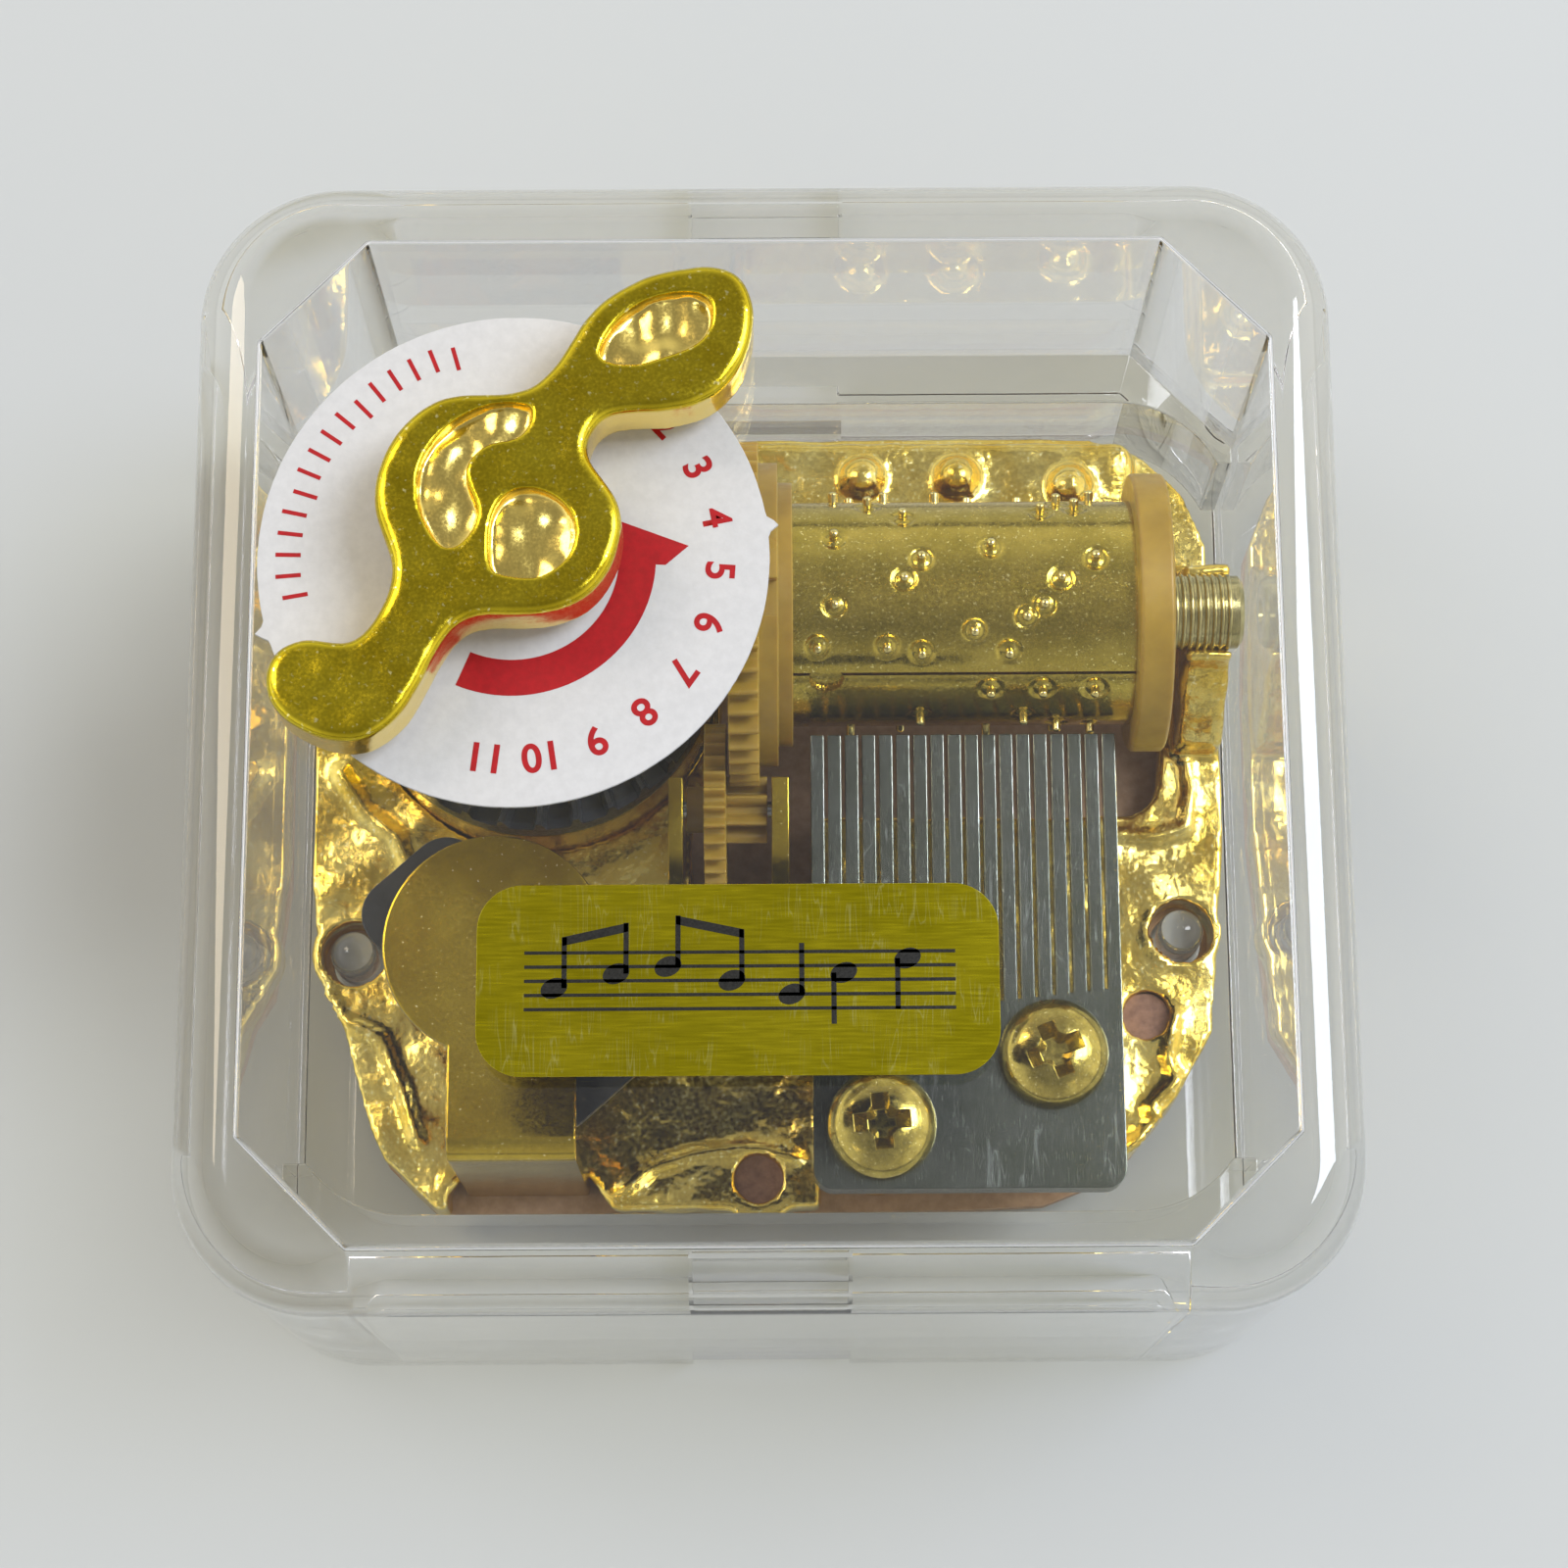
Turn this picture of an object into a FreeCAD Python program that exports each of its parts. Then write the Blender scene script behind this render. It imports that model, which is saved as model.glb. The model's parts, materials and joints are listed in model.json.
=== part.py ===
import math
import os

import FreeCAD
import Part

Vec = FreeCAD.Vector

# Clear case: a deep cover over a shallow tray
case_width = 60.0
case_height = 30.5
case_corner_radius = 7.5
case_edge_radius = 3.0
lid_thickness = 2.5
case_wall = 3.15
cavity_width = case_width - 2.0 * case_wall
cavity_chamfer = 5.7
tray_fit = 0.15
tray_floor = 2.2
tray_rim_height = 10.7
tray_side_opening = 40.0
pocket_wall = 0.4
pocket_width = cavity_width - 2.0 * pocket_wall
pocket_depth = 46.6
pocket_radius = 6.5
pocket_centre_y = 0.45
tab_width = 8.5
tab_height = 2.6
tab_clearance = 0.2
pin_radius = 1.3
pin_height = 7.0
locating_places = ((-23.6, -7.4), (23.4, -6.4))

# Pad between the tray and the movement
pad_thickness = 1.0

# Cast base plate of the movement
plate_top = 6.0
plate_thickness = 1.8
skirt_width = 1.6
window_corner = 2.2
locating_hole_radius = 1.8
lug_radius = 2.4
screw_hole_radius = 1.35
comb_seat_height = 13.2
saddle_height = 15.0
back_dome_places = ((5.6, 20.4), (11.1, 20.4), (17.6, 19.8))
back_dome_radius = 1.3
well_wall = 1.6

# Cylinder line, parallel to X
axis_y = 9.8
axis_z = 15.0
cylinder_radius = 6.2
cylinder_wall = 0.5
cylinder_left = 1.4
cylinder_right = 20.0
seam_angle = 48.0
seam_width = 0.18
seam_notch_radius = 0.9
tune_pin_height = 0.6
pin_tip_radius = cylinder_radius + tune_pin_height
tune_pin_radius = 0.24
pin_root_depth = 0.25
shaft_radius = 0.9
shaft_bore_gap = 0.05
bush_radius = 2.15
bush_end = 26.3
bush_rib_pitch = 0.5
flange_radius = 7.7
flange_width = 1.9
collar_radius = 7.3
collar_width = 0.8
notched_disc_radius = 8.4
notched_disc_width = 1.05
barrel_spigot_length = 1.6

# Gear train
train_module = 0.4
cylinder_teeth = 46
second_pinion_teeth = 8
cylinder_gear_width = 1.65
second_pinion_width = 2.25
fine_module = 0.3
second_teeth = 30
third_pinion_teeth = 10
fine_gear_width = 1.2
worm_wheel_teeth = 24
worm_starts = 2
worm_pitch_radius = 0.9
tooth_backlash = 0.1
small_shaft_radius = 0.45
second_drop_angle = 15.0

# Crown drive from the spring motor
arbor_x = -13.0
arbor_y = 8.5
arbor_radius = 1.5
crown_module = 0.6
crown_teeth = 30
crown_pinion_teeth = 10
crown_pinion_width = 1.4
crown_pinion_hub_radius = 2.1
crown_outer_radius = 10.0
crown_inner_radius = 7.8
crown_tooth_width = 0.5
drive_disc_thickness = 1.4
cup_radius = 10.0
cup_wall = 0.5
cup_top = 9.6
spring_turns = 7
spring_strip = 0.22
clutch_wire = 0.22
clutch_turns = 4

# Bridge over the motor
bridge_bottom = 13.3
bridge_thickness = 1.1
bridge_boss_radius = 3.6

# Governor
governor_x = -14.4
governor_y = -11.0
governor_lobe_x = -14.65
governor_lobe_y = -9.4
governor_lobe_radius = 6.0
governor_cover_top = 18.2
governor_sheet = 0.8
worm_length = 4.2
governor_cheek_offset = 2.95
governor_leg_left = -17.1
governor_leg_right = -10.2
governor_leg_front = -20.9
fan_length = 17.2
fan_width = 7.4
fan_corner_radius = 2.0
fan_bottom = 15.2
fan_thickness = 0.6
fan_turn = 131.5
fan_hub_radius = 1.4

# Comb
tine_count = 18
comb_left = 2.35
comb_width = 16.75
comb_clearance = 0.15
comb_tip_y = axis_y - pin_tip_radius - comb_clearance
comb_back_y = -22.2
comb_top = 15.2
tine_gap = 0.2
tine_thickness = 0.8
comb_thickness = 2.0
comb_corner_radius = 1.1
comb_screw_head_radius = 2.95
comb_screw_head_height = 1.9
comb_screw_shank = 1.3
comb_screw_places = ((15.3, -15.0), (6.0, -18.8))

# Lid top
disc_radius = 13.2
disc_hole_radius = 3.3
disc_thickness = 0.2
label_width = 26.2
label_depth = 9.75
label_radius = 2.3
label_thickness = 0.12
label_x = -1.5
label_y = -13.6

# Key
key_lift = 1.7
key_bottom = case_height + key_lift
key_thickness = 3.2
key_edge = 0.55
key_recess_depth = 0.9
key_hub_radius = 2.9
key_hub_gap = 0.5
key_hub_bottom = case_height + key_hub_gap
key_bore_depth = 1.7
lid_hole_radius = 3.05

# Screws from below
foot_screw_places = ((-0.6, -20.3), (21.3, -11.2), (17.6, 19.8))
foot_screw_head_radius = 2.0
foot_screw_head_height = 1.2
foot_screw_bottom = 0.05
foot_screw_top = 5.4

overcut = 0.5
ceiling = case_height - lid_thickness
pad_top = tray_floor + pad_thickness
plate_bottom = plate_top - plate_thickness
sheet_foot = plate_top


def box(x0, x1, y0, y1, z0, z1):
    return Part.makeBox(x1 - x0, y1 - y0, z1 - z0, Vec(x0, y0, z0))


def rod_z(x, y, z0, z1, radius):
    return Part.makeCylinder(radius, z1 - z0, Vec(x, y, z0), Vec(0, 0, 1))


def rod_x(x0, x1, y, z, radius):
    return Part.makeCylinder(radius, x1 - x0, Vec(x0, y, z), Vec(1, 0, 0))


def prism(points, z0, z1):
    corners = [Vec(x, y, z0) for x, y in points]
    wire = Part.makePolygon(corners + corners[:1])
    return Part.Face(wire).extrude(Vec(0, 0, z1 - z0))


def side_prism(points, x0, x1):
    """Extrude a (y, z) outline along X."""
    corners = [Vec(x0, y, z) for y, z in points]
    wire = Part.makePolygon(corners + corners[:1])
    return Part.Face(wire).extrude(Vec(x1 - x0, 0, 0))


def octagon(width, chamfer, z0, z1):
    half = width / 2.0
    flat = half - chamfer
    points = [(flat, -half), (half, -flat), (half, flat), (flat, half)]
    points += [(-x, -y) for x, y in points]
    return prism(points, z0, z1)


def upright_edges(shape, low, high):
    chosen = []
    for edge in shape.Edges:
        start = edge.Vertexes[0].Point
        end = edge.Vertexes[-1].Point
        vertical = abs(start.x - end.x) < 1e-6 and abs(start.y - end.y) < 1e-6
        tall = abs(start.z - end.z) > 1e-6
        if vertical and tall and min(start.z, end.z) > low and max(start.z, end.z) < high:
            chosen.append(edge)
    return chosen


def rounded_slab(x0, x1, y0, y1, z0, z1, radius):
    slab = box(x0, x1, y0, y1, z0, z1)
    return slab.makeFillet(radius, upright_edges(slab, z0 - 1, z1 + 1))


def edges_at_height(shape, z):
    return [edge for edge in shape.Edges if all(abs(v.Z - z) < 1e-6 for v in edge.Vertexes)]


def polar(radius, angle):
    return radius * math.cos(angle), radius * math.sin(angle)


def involute_outline(teeth, module, addendum, dedendum):
    """Spur gear outline with thinned involute teeth; one tooth lies on the first axis."""
    pitch = teeth * module / 2.0
    base = pitch * math.cos(math.radians(20.0))
    tip = pitch + addendum
    root = pitch - dedendum
    start = max(base, root)
    half = math.pi / teeth / 2.0 - tooth_backlash / pitch / 2.0
    half_base = half + math.tan(math.radians(20.0)) - math.radians(20.0)
    flank = []
    for step in range(5):
        radius = start + (tip - start) * step / 4.0
        roll = math.sqrt(max((radius / base) ** 2 - 1.0, 0.0))
        flank.append((radius, half_base - (roll - math.atan(roll))))
    if root < start:
        flank.insert(0, (root, flank[0][1] + 0.02))
    outline = []
    for tooth in range(teeth):
        middle = 2.0 * math.pi * tooth / teeth
        outline += [polar(radius, middle - angle) for radius, angle in flank]
        outline += [polar(radius, middle + angle) for radius, angle in reversed(flank)]
    return outline


def spur_gear(teeth, module, x0, x1, y, z, turn, addendum_ratio=0.95):
    """Spur gear about an axis parallel to X, with a tooth pointing at the angle turn."""
    outline = involute_outline(teeth, module, addendum_ratio * module, 1.25 * module)
    cos_turn = math.cos(turn)
    sin_turn = math.sin(turn)
    points = [(y + a * cos_turn - b * sin_turn, z + a * sin_turn + b * cos_turn) for a, b in outline]
    return side_prism(points, x0, x1)


def closed_spline(points, z):
    curve = Part.BSplineCurve()
    curve.interpolate([Vec(x, y, z) for x, y in points], PeriodicFlag=True)
    return Part.Wire(curve.toShape())


# Places that follow from the dimensions above
drop = math.radians(second_drop_angle)
train_distance = train_module * (cylinder_teeth + second_pinion_teeth) / 2.0
second_y = axis_y - train_distance * math.cos(drop)
second_z = axis_z - train_distance * math.sin(drop)
worm_distance = worm_pitch_radius + fine_module * worm_wheel_teeth / 2.0
third_y = governor_y + worm_distance
fine_distance = fine_module * (second_teeth + third_pinion_teeth) / 2.0
third_z = second_z - math.sqrt(fine_distance ** 2 - (second_y - third_y) ** 2)
crown_reach = crown_module * crown_teeth / 2.0
crown_pinion_middle = arbor_x + crown_reach
crown_pinion_left = crown_pinion_middle - crown_pinion_width / 2.0
crown_pitch_z = axis_z - crown_module * crown_pinion_teeth / 2.0
crown_tip_z = crown_pitch_z + 0.5
crown_root_z = crown_pitch_z - 0.75
drive_bottom = crown_root_z - drive_disc_thickness
cylinder_gear_left = cylinder_left - collar_width - notched_disc_width - cylinder_gear_width
second_gear_right = cylinder_gear_left - 0.2
second_gear_left = second_gear_right - fine_gear_width
second_pinion_right = second_gear_right + second_pinion_width
left_cheek_x = second_gear_left - 1.98
right_cheek_x = second_pinion_right + 0.25
tine_pitch = (comb_width + tine_gap) / tine_count


def make_cover():
    half = case_width / 2.0
    shell = rounded_slab(-half, half, -half, half, 0.0, case_height, case_corner_radius)
    shell = shell.makeFillet(case_edge_radius, edges_at_height(shell, case_height))
    shell = shell.cut(octagon(cavity_width, cavity_chamfer, -overcut, ceiling))
    shell = shell.cut(rod_z(arbor_x, arbor_y, ceiling - overcut, case_height + overcut, lid_hole_radius))
    notch_half = tab_width / 2.0 + tab_clearance
    notch_top = tab_height + tab_clearance
    notch = box(-notch_half, notch_half, -half - overcut, half + overcut, -overcut, notch_top)
    return shell.cut(notch)


def make_tray():
    body_width = cavity_width - 2.0 * tray_fit
    tray = octagon(body_width, cavity_chamfer, 0.0, tray_rim_height)
    half_x = pocket_width / 2.0
    low_y = pocket_centre_y - pocket_depth / 2.0
    high_y = pocket_centre_y + pocket_depth / 2.0
    open_top = tray_rim_height + overcut
    pocket = rounded_slab(-half_x, half_x, low_y, high_y, tray_floor, open_top, pocket_radius)
    side_cut = tray_side_opening / 2.0
    sides = box(-case_width, case_width, -side_cut, side_cut, tray_floor, open_top)
    tray = tray.cut(pocket).cut(sides)
    tab_reach = case_width / 2.0 - 0.4
    tray = tray.fuse(box(-tab_width / 2.0, tab_width / 2.0, -tab_reach, tab_reach, 0.0, tray_floor))
    for x, y in locating_places:
        tray = tray.fuse(rod_z(x, y, tray_floor, pin_height - pin_radius, pin_radius))
        tray = tray.fuse(Part.makeSphere(pin_radius, Vec(x, y, pin_height - pin_radius)))
    for x, y in foot_screw_places:
        tray = tray.cut(rod_z(x, y, -overcut, foot_screw_head_height, foot_screw_head_radius + 0.2))
        tray = tray.cut(rod_z(x, y, -overcut, tray_floor + overcut, screw_hole_radius))
    return tray.removeSplitter()


def make_pad():
    pad = prism(base_outline(), tray_floor, pad_top)
    for x, y in locating_places:
        pad = pad.cut(rod_z(x, y, 0.0, pad_top + overcut, pin_radius + 0.2))
    for x, y in foot_screw_places:
        pad = pad.cut(rod_z(x, y, 0.0, pad_top + overcut, screw_hole_radius))
    return pad


def base_outline():
    """Outline of the cast plate, front left corner first, then counter-clockwise."""
    return (
        (-18.7, -22.0), (-2.5, -22.0), (11.0, -21.8), (15.4, -21.6), (18.0, -20.6), (20.4, -18.9),
        (23.1, -15.6), (25.1, -12.0), (26.0, -0.7), (26.0, 8.0), (25.6, 16.5), (24.4, 19.6), (22.0, 22.0),
        (19.0, 23.2), (-19.5, 23.2), (-22.6, 22.1), (-24.9, 19.6), (-26.0, 16.5), (-26.1, -3.0),
        (-25.3, -9.4), (-24.2, -11.3), (-22.9, -16.2), (-21.6, -19.2),
    )


def scaled_outline(shrink):
    middle_y = pocket_centre_y
    points = []
    for x, y in base_outline():
        reach = math.hypot(x, y - middle_y)
        factor = (reach - shrink) / reach
        points.append((x * factor, middle_y + (y - middle_y) * factor))
    return points


def make_base():
    plate = prism(base_outline(), pad_top, plate_top)
    plate = plate.cut(prism(scaled_outline(skirt_width), pad_top - overcut, plate_bottom))
    for points in front_notches():
        plate = plate.cut(prism(points, pad_top - overcut, plate_top + overcut))
    for x, y in locating_places + foot_screw_places:
        plate = plate.fuse(rod_z(x, y, pad_top, plate_top, lug_radius))
    plate = plate.fuse(comb_seat()).fuse(bush_saddle()).fuse(back_shelf())
    plate = plate.fuse(rod_z(governor_x, governor_y, pad_top, plate_top + 0.6, 1.6))
    window = rounded_slab(-2.6, 22.4, 0.4, 17.6, 0.0, plate_top + 0.05, window_corner)
    window = window.fuse(rounded_slab(-4.4, 2.6, -5.6, 2.0, 0.0, plate_top + 0.05, 0.8))
    plate = plate.cut(window)
    plate = plate.fuse(rod_z(arbor_x, arbor_y, pad_top, plate_top, cup_radius + well_wall))
    plate = plate.cut(box(-2.7, 0.6, 0.4, 17.6, 0.0, plate_top + 0.05))
    plate = plate.cut(rod_z(arbor_x, arbor_y, 0.0, plate_top + overcut, cup_radius))
    for x, y in locating_places:
        plate = plate.cut(rod_z(x, y, 0.0, plate_top + overcut, locating_hole_radius))
    for x, y in foot_screw_places:
        plate = plate.cut(rod_z(x, y, 0.0, plate_top + overcut, screw_hole_radius))
    foot_bore = small_shaft_radius + shaft_bore_gap
    plate = plate.cut(rod_z(governor_x, governor_y, pad_top + 0.8, plate_top + 1.0, foot_bore))
    for x, y in comb_screw_places:
        plate = plate.cut(rod_z(x, y, plate_top, comb_seat_height + overcut, comb_screw_shank))
    return plate.removeSplitter()


def front_notches():
    """Bays in the front edge that leave the pad bare: for the governor's leg and below the comb."""
    leg_bay = ((-18.0, -23.0), (-18.0, -20.9), (-17.2, -20.1), (-10.1, -20.1), (-8.0, -23.0))
    comb_bay = ((2.8, -23.0), (2.8, -20.3), (19.4, -20.3), (19.4, -23.0))
    return leg_bay, comb_bay


def comb_seat():
    left = comb_left + 0.6
    right = comb_left + comb_width - 0.1
    seat = rounded_slab(left, right, -20.2, -13.0, plate_bottom, comb_seat_height, comb_corner_radius)
    boss_x, boss_y = comb_screw_places[1]
    seat = seat.fuse(rod_z(boss_x, boss_y, pad_top, comb_seat_height, comb_screw_shank + 0.9))
    relief = box(left + 1.6, right - 1.6, -13.6, -12.5, plate_top + 1.2, comb_seat_height - 1.6)
    return seat.cut(relief)


def bush_saddle():
    outline = ((4.0, plate_bottom), (4.0, 8.2), (5.2, 10.4), (7.0, saddle_height - 1.6),
               (7.2, saddle_height), (12.6, saddle_height), (13.4, 11.0), (14.6, 8.2),
               (14.6, plate_bottom))
    saddle = side_prism(outline, 23.2, 25.8)
    return saddle.cut(rod_x(22.0, 27.0, axis_y, axis_z, bush_radius))


def back_shelf():
    shelf = rounded_slab(-1.6, 21.4, 18.3, 22.6, plate_bottom, plate_top + 1.2, 1.2)
    for x, y in back_dome_places:
        shelf = shelf.fuse(Part.makeSphere(back_dome_radius, Vec(x, y, plate_top + 1.1)))
    return shelf


def make_foot_screws():
    screws = []
    for x, y in foot_screw_places:
        head = rod_z(x, y, foot_screw_bottom, foot_screw_head_height, foot_screw_head_radius)
        head = head.makeFillet(0.4, edges_at_height(head, foot_screw_bottom))
        slot_z = foot_screw_bottom + 0.6
        head = head.cut(box(x - 1.1, x + 1.1, y - 0.2, y + 0.2, 0.0, slot_z))
        head = head.cut(box(x - 0.2, x + 0.2, y - 1.1, y + 1.1, 0.0, slot_z))
        shank = rod_z(x, y, foot_screw_head_height, foot_screw_top, screw_hole_radius)
        screws.append(head.fuse(shank).removeSplitter())
    return Part.makeCompound(screws)


def make_cup():
    cup = rod_z(arbor_x, arbor_y, pad_top, cup_top, cup_radius)
    cup = cup.makeFillet(0.8, edges_at_height(cup, pad_top))
    cup = cup.cut(rod_z(arbor_x, arbor_y, pad_top + cup_wall, cup_top + overcut, cup_radius - cup_wall))
    bore = arbor_radius + shaft_bore_gap
    return cup.cut(rod_z(arbor_x, arbor_y, pad_top - overcut, pad_top + overcut + cup_wall, bore))


def make_mainspring():
    inner = arbor_radius + 0.15
    outer = cup_radius - cup_wall - 0.05
    steps = spring_turns * 16
    outside = []
    inside = []
    for step in range(steps + 1):
        share = step / float(steps)
        angle = 2.0 * math.pi * spring_turns * share
        radius = inner + spring_strip + (outer - inner - spring_strip) * share
        outside.append(polar(radius, angle))
        inside.append(polar(radius - spring_strip, angle))
    z0 = pad_top + cup_wall + 0.2
    z1 = cup_top - 0.3
    place = Vec(arbor_x, arbor_y, 0)
    curves = []
    for points in (outside, inside):
        curve = Part.BSplineCurve()
        curve.interpolate([Vec(x, y, z0) + place for x, y in points])
        curves.append(curve.toShape())
    ends = []
    for index in (0, -1):
        first = Vec(outside[index][0], outside[index][1], z0) + place
        second = Vec(inside[index][0], inside[index][1], z0) + place
        ends.append(Part.makeLine(first, second))
    wire = Part.Wire(Part.__sortEdges__(curves + ends))
    return Part.Face(wire).extrude(Vec(0, 0, z1 - z0))


def make_bridge():
    z0 = bridge_bottom
    z1 = bridge_bottom + bridge_thickness
    left_x = arbor_x - 10.4
    right_x = crown_pinion_left - 0.7
    outline = ((left_x, 22.0), (left_x, 18.6), (arbor_x - bridge_boss_radius, arbor_y),
               (arbor_x + bridge_boss_radius, arbor_y - 0.4), (right_x - 0.9, 7.6), (right_x, 7.6),
               (right_x, 22.0))
    bridge = prism(outline, z0, z1).fuse(rod_z(arbor_x, arbor_y, z0, z1, bridge_boss_radius))
    bridge = bridge.fuse(box(left_x, left_x + 3.0, 18.8, 22.0, sheet_foot, z1))
    bridge = bridge.fuse(box(right_x - 3.0, right_x, 19.4, 22.0, sheet_foot, z1))
    ear = ((7.6, z0), (7.6, axis_z), (8.2, 17.2), (11.4, 17.2), (12.4, z0))
    bridge = bridge.fuse(side_prism(ear, right_x - 0.9, right_x))
    bridge = bridge.cut(rod_x(right_x - 2.0, right_x + 1.0, axis_y, axis_z, shaft_radius + shaft_bore_gap))
    bridge = bridge.cut(rod_z(arbor_x, arbor_y, z0 - overcut, z1 + overcut, arbor_radius + shaft_bore_gap))
    return bridge.removeSplitter()


def make_barrel():
    barrel = rod_x(cylinder_left, cylinder_right, axis_y, axis_z, cylinder_radius)
    inner_radius = cylinder_radius - cylinder_wall
    barrel = barrel.cut(rod_x(cylinder_left - 1, cylinder_right + 1, axis_y, axis_z, inner_radius))
    barrel = barrel.multiFuse(tune_pins())
    slit = box(cylinder_left - 1, cylinder_right + 1, axis_y - seam_width / 2.0, axis_y + seam_width / 2.0,
               axis_z + cylinder_radius - 1.0, axis_z + cylinder_radius + 1.0)
    notch_x = comb_left + 0.85
    notch = rod_z(notch_x, axis_y - seam_notch_radius * 0.3, axis_z + 4.0, axis_z + 8.0, seam_notch_radius)
    seam = slit.fuse(notch)
    seam.rotate(Vec(0, axis_y, axis_z), Vec(1, 0, 0), seam_angle)
    return barrel.cut(seam)


def tune():
    """Pins round the cylinder: degrees back from the seam side, then the tines plucked there."""
    return (
        (-95, (16,)), (-90, (14,)), (-80, (6, 12)), (-58, (10, 13, 16)), (-36, (6, 11)), (-33, (0, 4)),
        (-25, (9,)), (-18, (12,)), (-12, (1, 13)), (1, (5, 14)), (12, (6, 16)), (19, (10,)),
        (25, (1,)), (41, (5,)), (46, (13,)), (51, (15,)), (55, (3,)), (59, (14,)), (68, (1, 16)),
        (78, (4, 7)), (90, (2, 9, 12)), (101, (8, 17)), (112, (5, 11)), (124, (0, 13)), (135, (7, 15)),
        (146, (3, 10)), (158, (6, 14, 17)), (169, (2, 12)), (181, (8, 16)), (193, (4, 11)),
        (204, (0, 9, 15)), (216, (7, 13)), (228, (3, 17)), (239, (5, 14)), (250, (2, 10)),
    )


def tune_pins():
    pins = []
    length = pin_tip_radius - cylinder_radius + pin_root_depth
    for degrees, tines in tune():
        angle = math.radians(degrees)
        direction = Vec(0, math.sin(angle), math.cos(angle))
        for tine in tines:
            x = comb_left + tine_pitch * (tine + 0.5) - tine_gap / 2.0
            foot = Vec(x, axis_y, axis_z) + direction * (cylinder_radius - pin_root_depth)
            pins.append(Part.makeCylinder(tune_pin_radius, length, foot, direction))
    return pins


def make_cylinder_gear():
    gear_right = cylinder_gear_left + cylinder_gear_width
    disc_right = gear_right + notched_disc_width
    stack = spur_gear(cylinder_teeth, train_module, cylinder_gear_left, gear_right,
                      axis_y, axis_z, mesh_turn())
    disc = rod_x(gear_right, disc_right, axis_y, axis_z, notched_disc_radius)
    disc_edge = axis_y - notched_disc_radius
    notch = box(gear_right, disc_right, disc_edge - 1.0, disc_edge + 1.0, axis_z - 1.0, axis_z + 1.0)
    notch.rotate(Vec(0, axis_y, axis_z), Vec(1, 0, 0), -80)
    stack = stack.fuse(disc.cut(notch))
    stack = stack.fuse(rod_x(disc_right, cylinder_left, axis_y, axis_z, collar_radius))
    spigot_end = cylinder_left + barrel_spigot_length
    stack = stack.fuse(rod_x(cylinder_left, spigot_end, axis_y, axis_z, cylinder_radius - cylinder_wall))
    hub = rod_x(crown_pinion_left, cylinder_gear_left, axis_y, axis_z, crown_pinion_hub_radius)
    stack = stack.fuse(hub)
    turn = -math.pi / 2.0 + math.pi / crown_pinion_teeth
    stack = stack.fuse(spur_gear(crown_pinion_teeth, crown_module, crown_pinion_left,
                                 crown_pinion_left + crown_pinion_width, axis_y, axis_z, turn, 0.85))
    return stack.cut(rod_x(-10, 10, axis_y, axis_z, shaft_radius)).removeSplitter()


def mesh_turn():
    """Direction from the cylinder axis to the second arbor."""
    return math.atan2(second_z - axis_z, second_y - axis_y)


def fine_turn():
    """Direction from the second arbor to the third arbor."""
    return math.atan2(third_z - second_z, third_y - second_y)


def make_cylinder_cap():
    cap = rod_x(cylinder_right, cylinder_right + flange_width, axis_y, axis_z, flange_radius)
    cap = cap.makeFillet(0.25, [edge for edge in cap.Edges if len(edge.Vertexes) == 1])
    spigot = rod_x(cylinder_right - barrel_spigot_length, cylinder_right, axis_y, axis_z,
                   cylinder_radius - cylinder_wall)
    return cap.fuse(spigot).cut(rod_x(10, 30, axis_y, axis_z, shaft_radius)).removeSplitter()


def make_bush():
    left = cylinder_right + flange_width + 0.4
    bush = rod_x(left, bush_end, axis_y, axis_z, bush_radius - 0.2)
    count = int((bush_end - left) / bush_rib_pitch)
    for rib in range(count):
        x = left + rib * bush_rib_pitch
        bush = bush.fuse(rod_x(x, x + bush_rib_pitch * 0.6, axis_y, axis_z, bush_radius))
    bush = bush.cut(rod_x(left - 1, bush_end - 0.8, axis_y, axis_z, shaft_radius + shaft_bore_gap))
    return bush.removeSplitter()


def make_second_wheel():
    wheel = spur_gear(second_teeth, fine_module, second_gear_left, second_gear_right, second_y, second_z,
                      fine_turn() + math.pi / second_teeth)
    toward = mesh_turn() + math.pi + math.pi / second_pinion_teeth
    pinion = spur_gear(second_pinion_teeth, train_module, second_gear_right, second_pinion_right,
                       second_y, second_z, toward)
    hub = rod_x(second_gear_left - 1.0, second_gear_left, second_y, second_z, 1.3)
    wheel = wheel.fuse(pinion).fuse(hub)
    return wheel.cut(rod_x(-10, 10, second_y, second_z, small_shaft_radius)).removeSplitter()


def make_third_pinion():
    pinion = spur_gear(third_pinion_teeth, fine_module, second_gear_left - 0.1, second_gear_right + 0.1,
                       third_y, third_z, fine_turn() + math.pi)
    return pinion.cut(rod_x(-10, 10, third_y, third_z, small_shaft_radius))


def make_worm_wheel():
    half = 0.6
    turn = math.pi + math.pi / worm_wheel_teeth
    wheel = spur_gear(worm_wheel_teeth, fine_module, governor_x - half, governor_x + half,
                      third_y, third_z, turn, 0.8)
    hub = rod_x(governor_x - 1.4, governor_x + 1.4, third_y, third_z, 1.1)
    return wheel.fuse(hub).cut(rod_x(-20, 10, third_y, third_z, small_shaft_radius)).removeSplitter()


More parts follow.
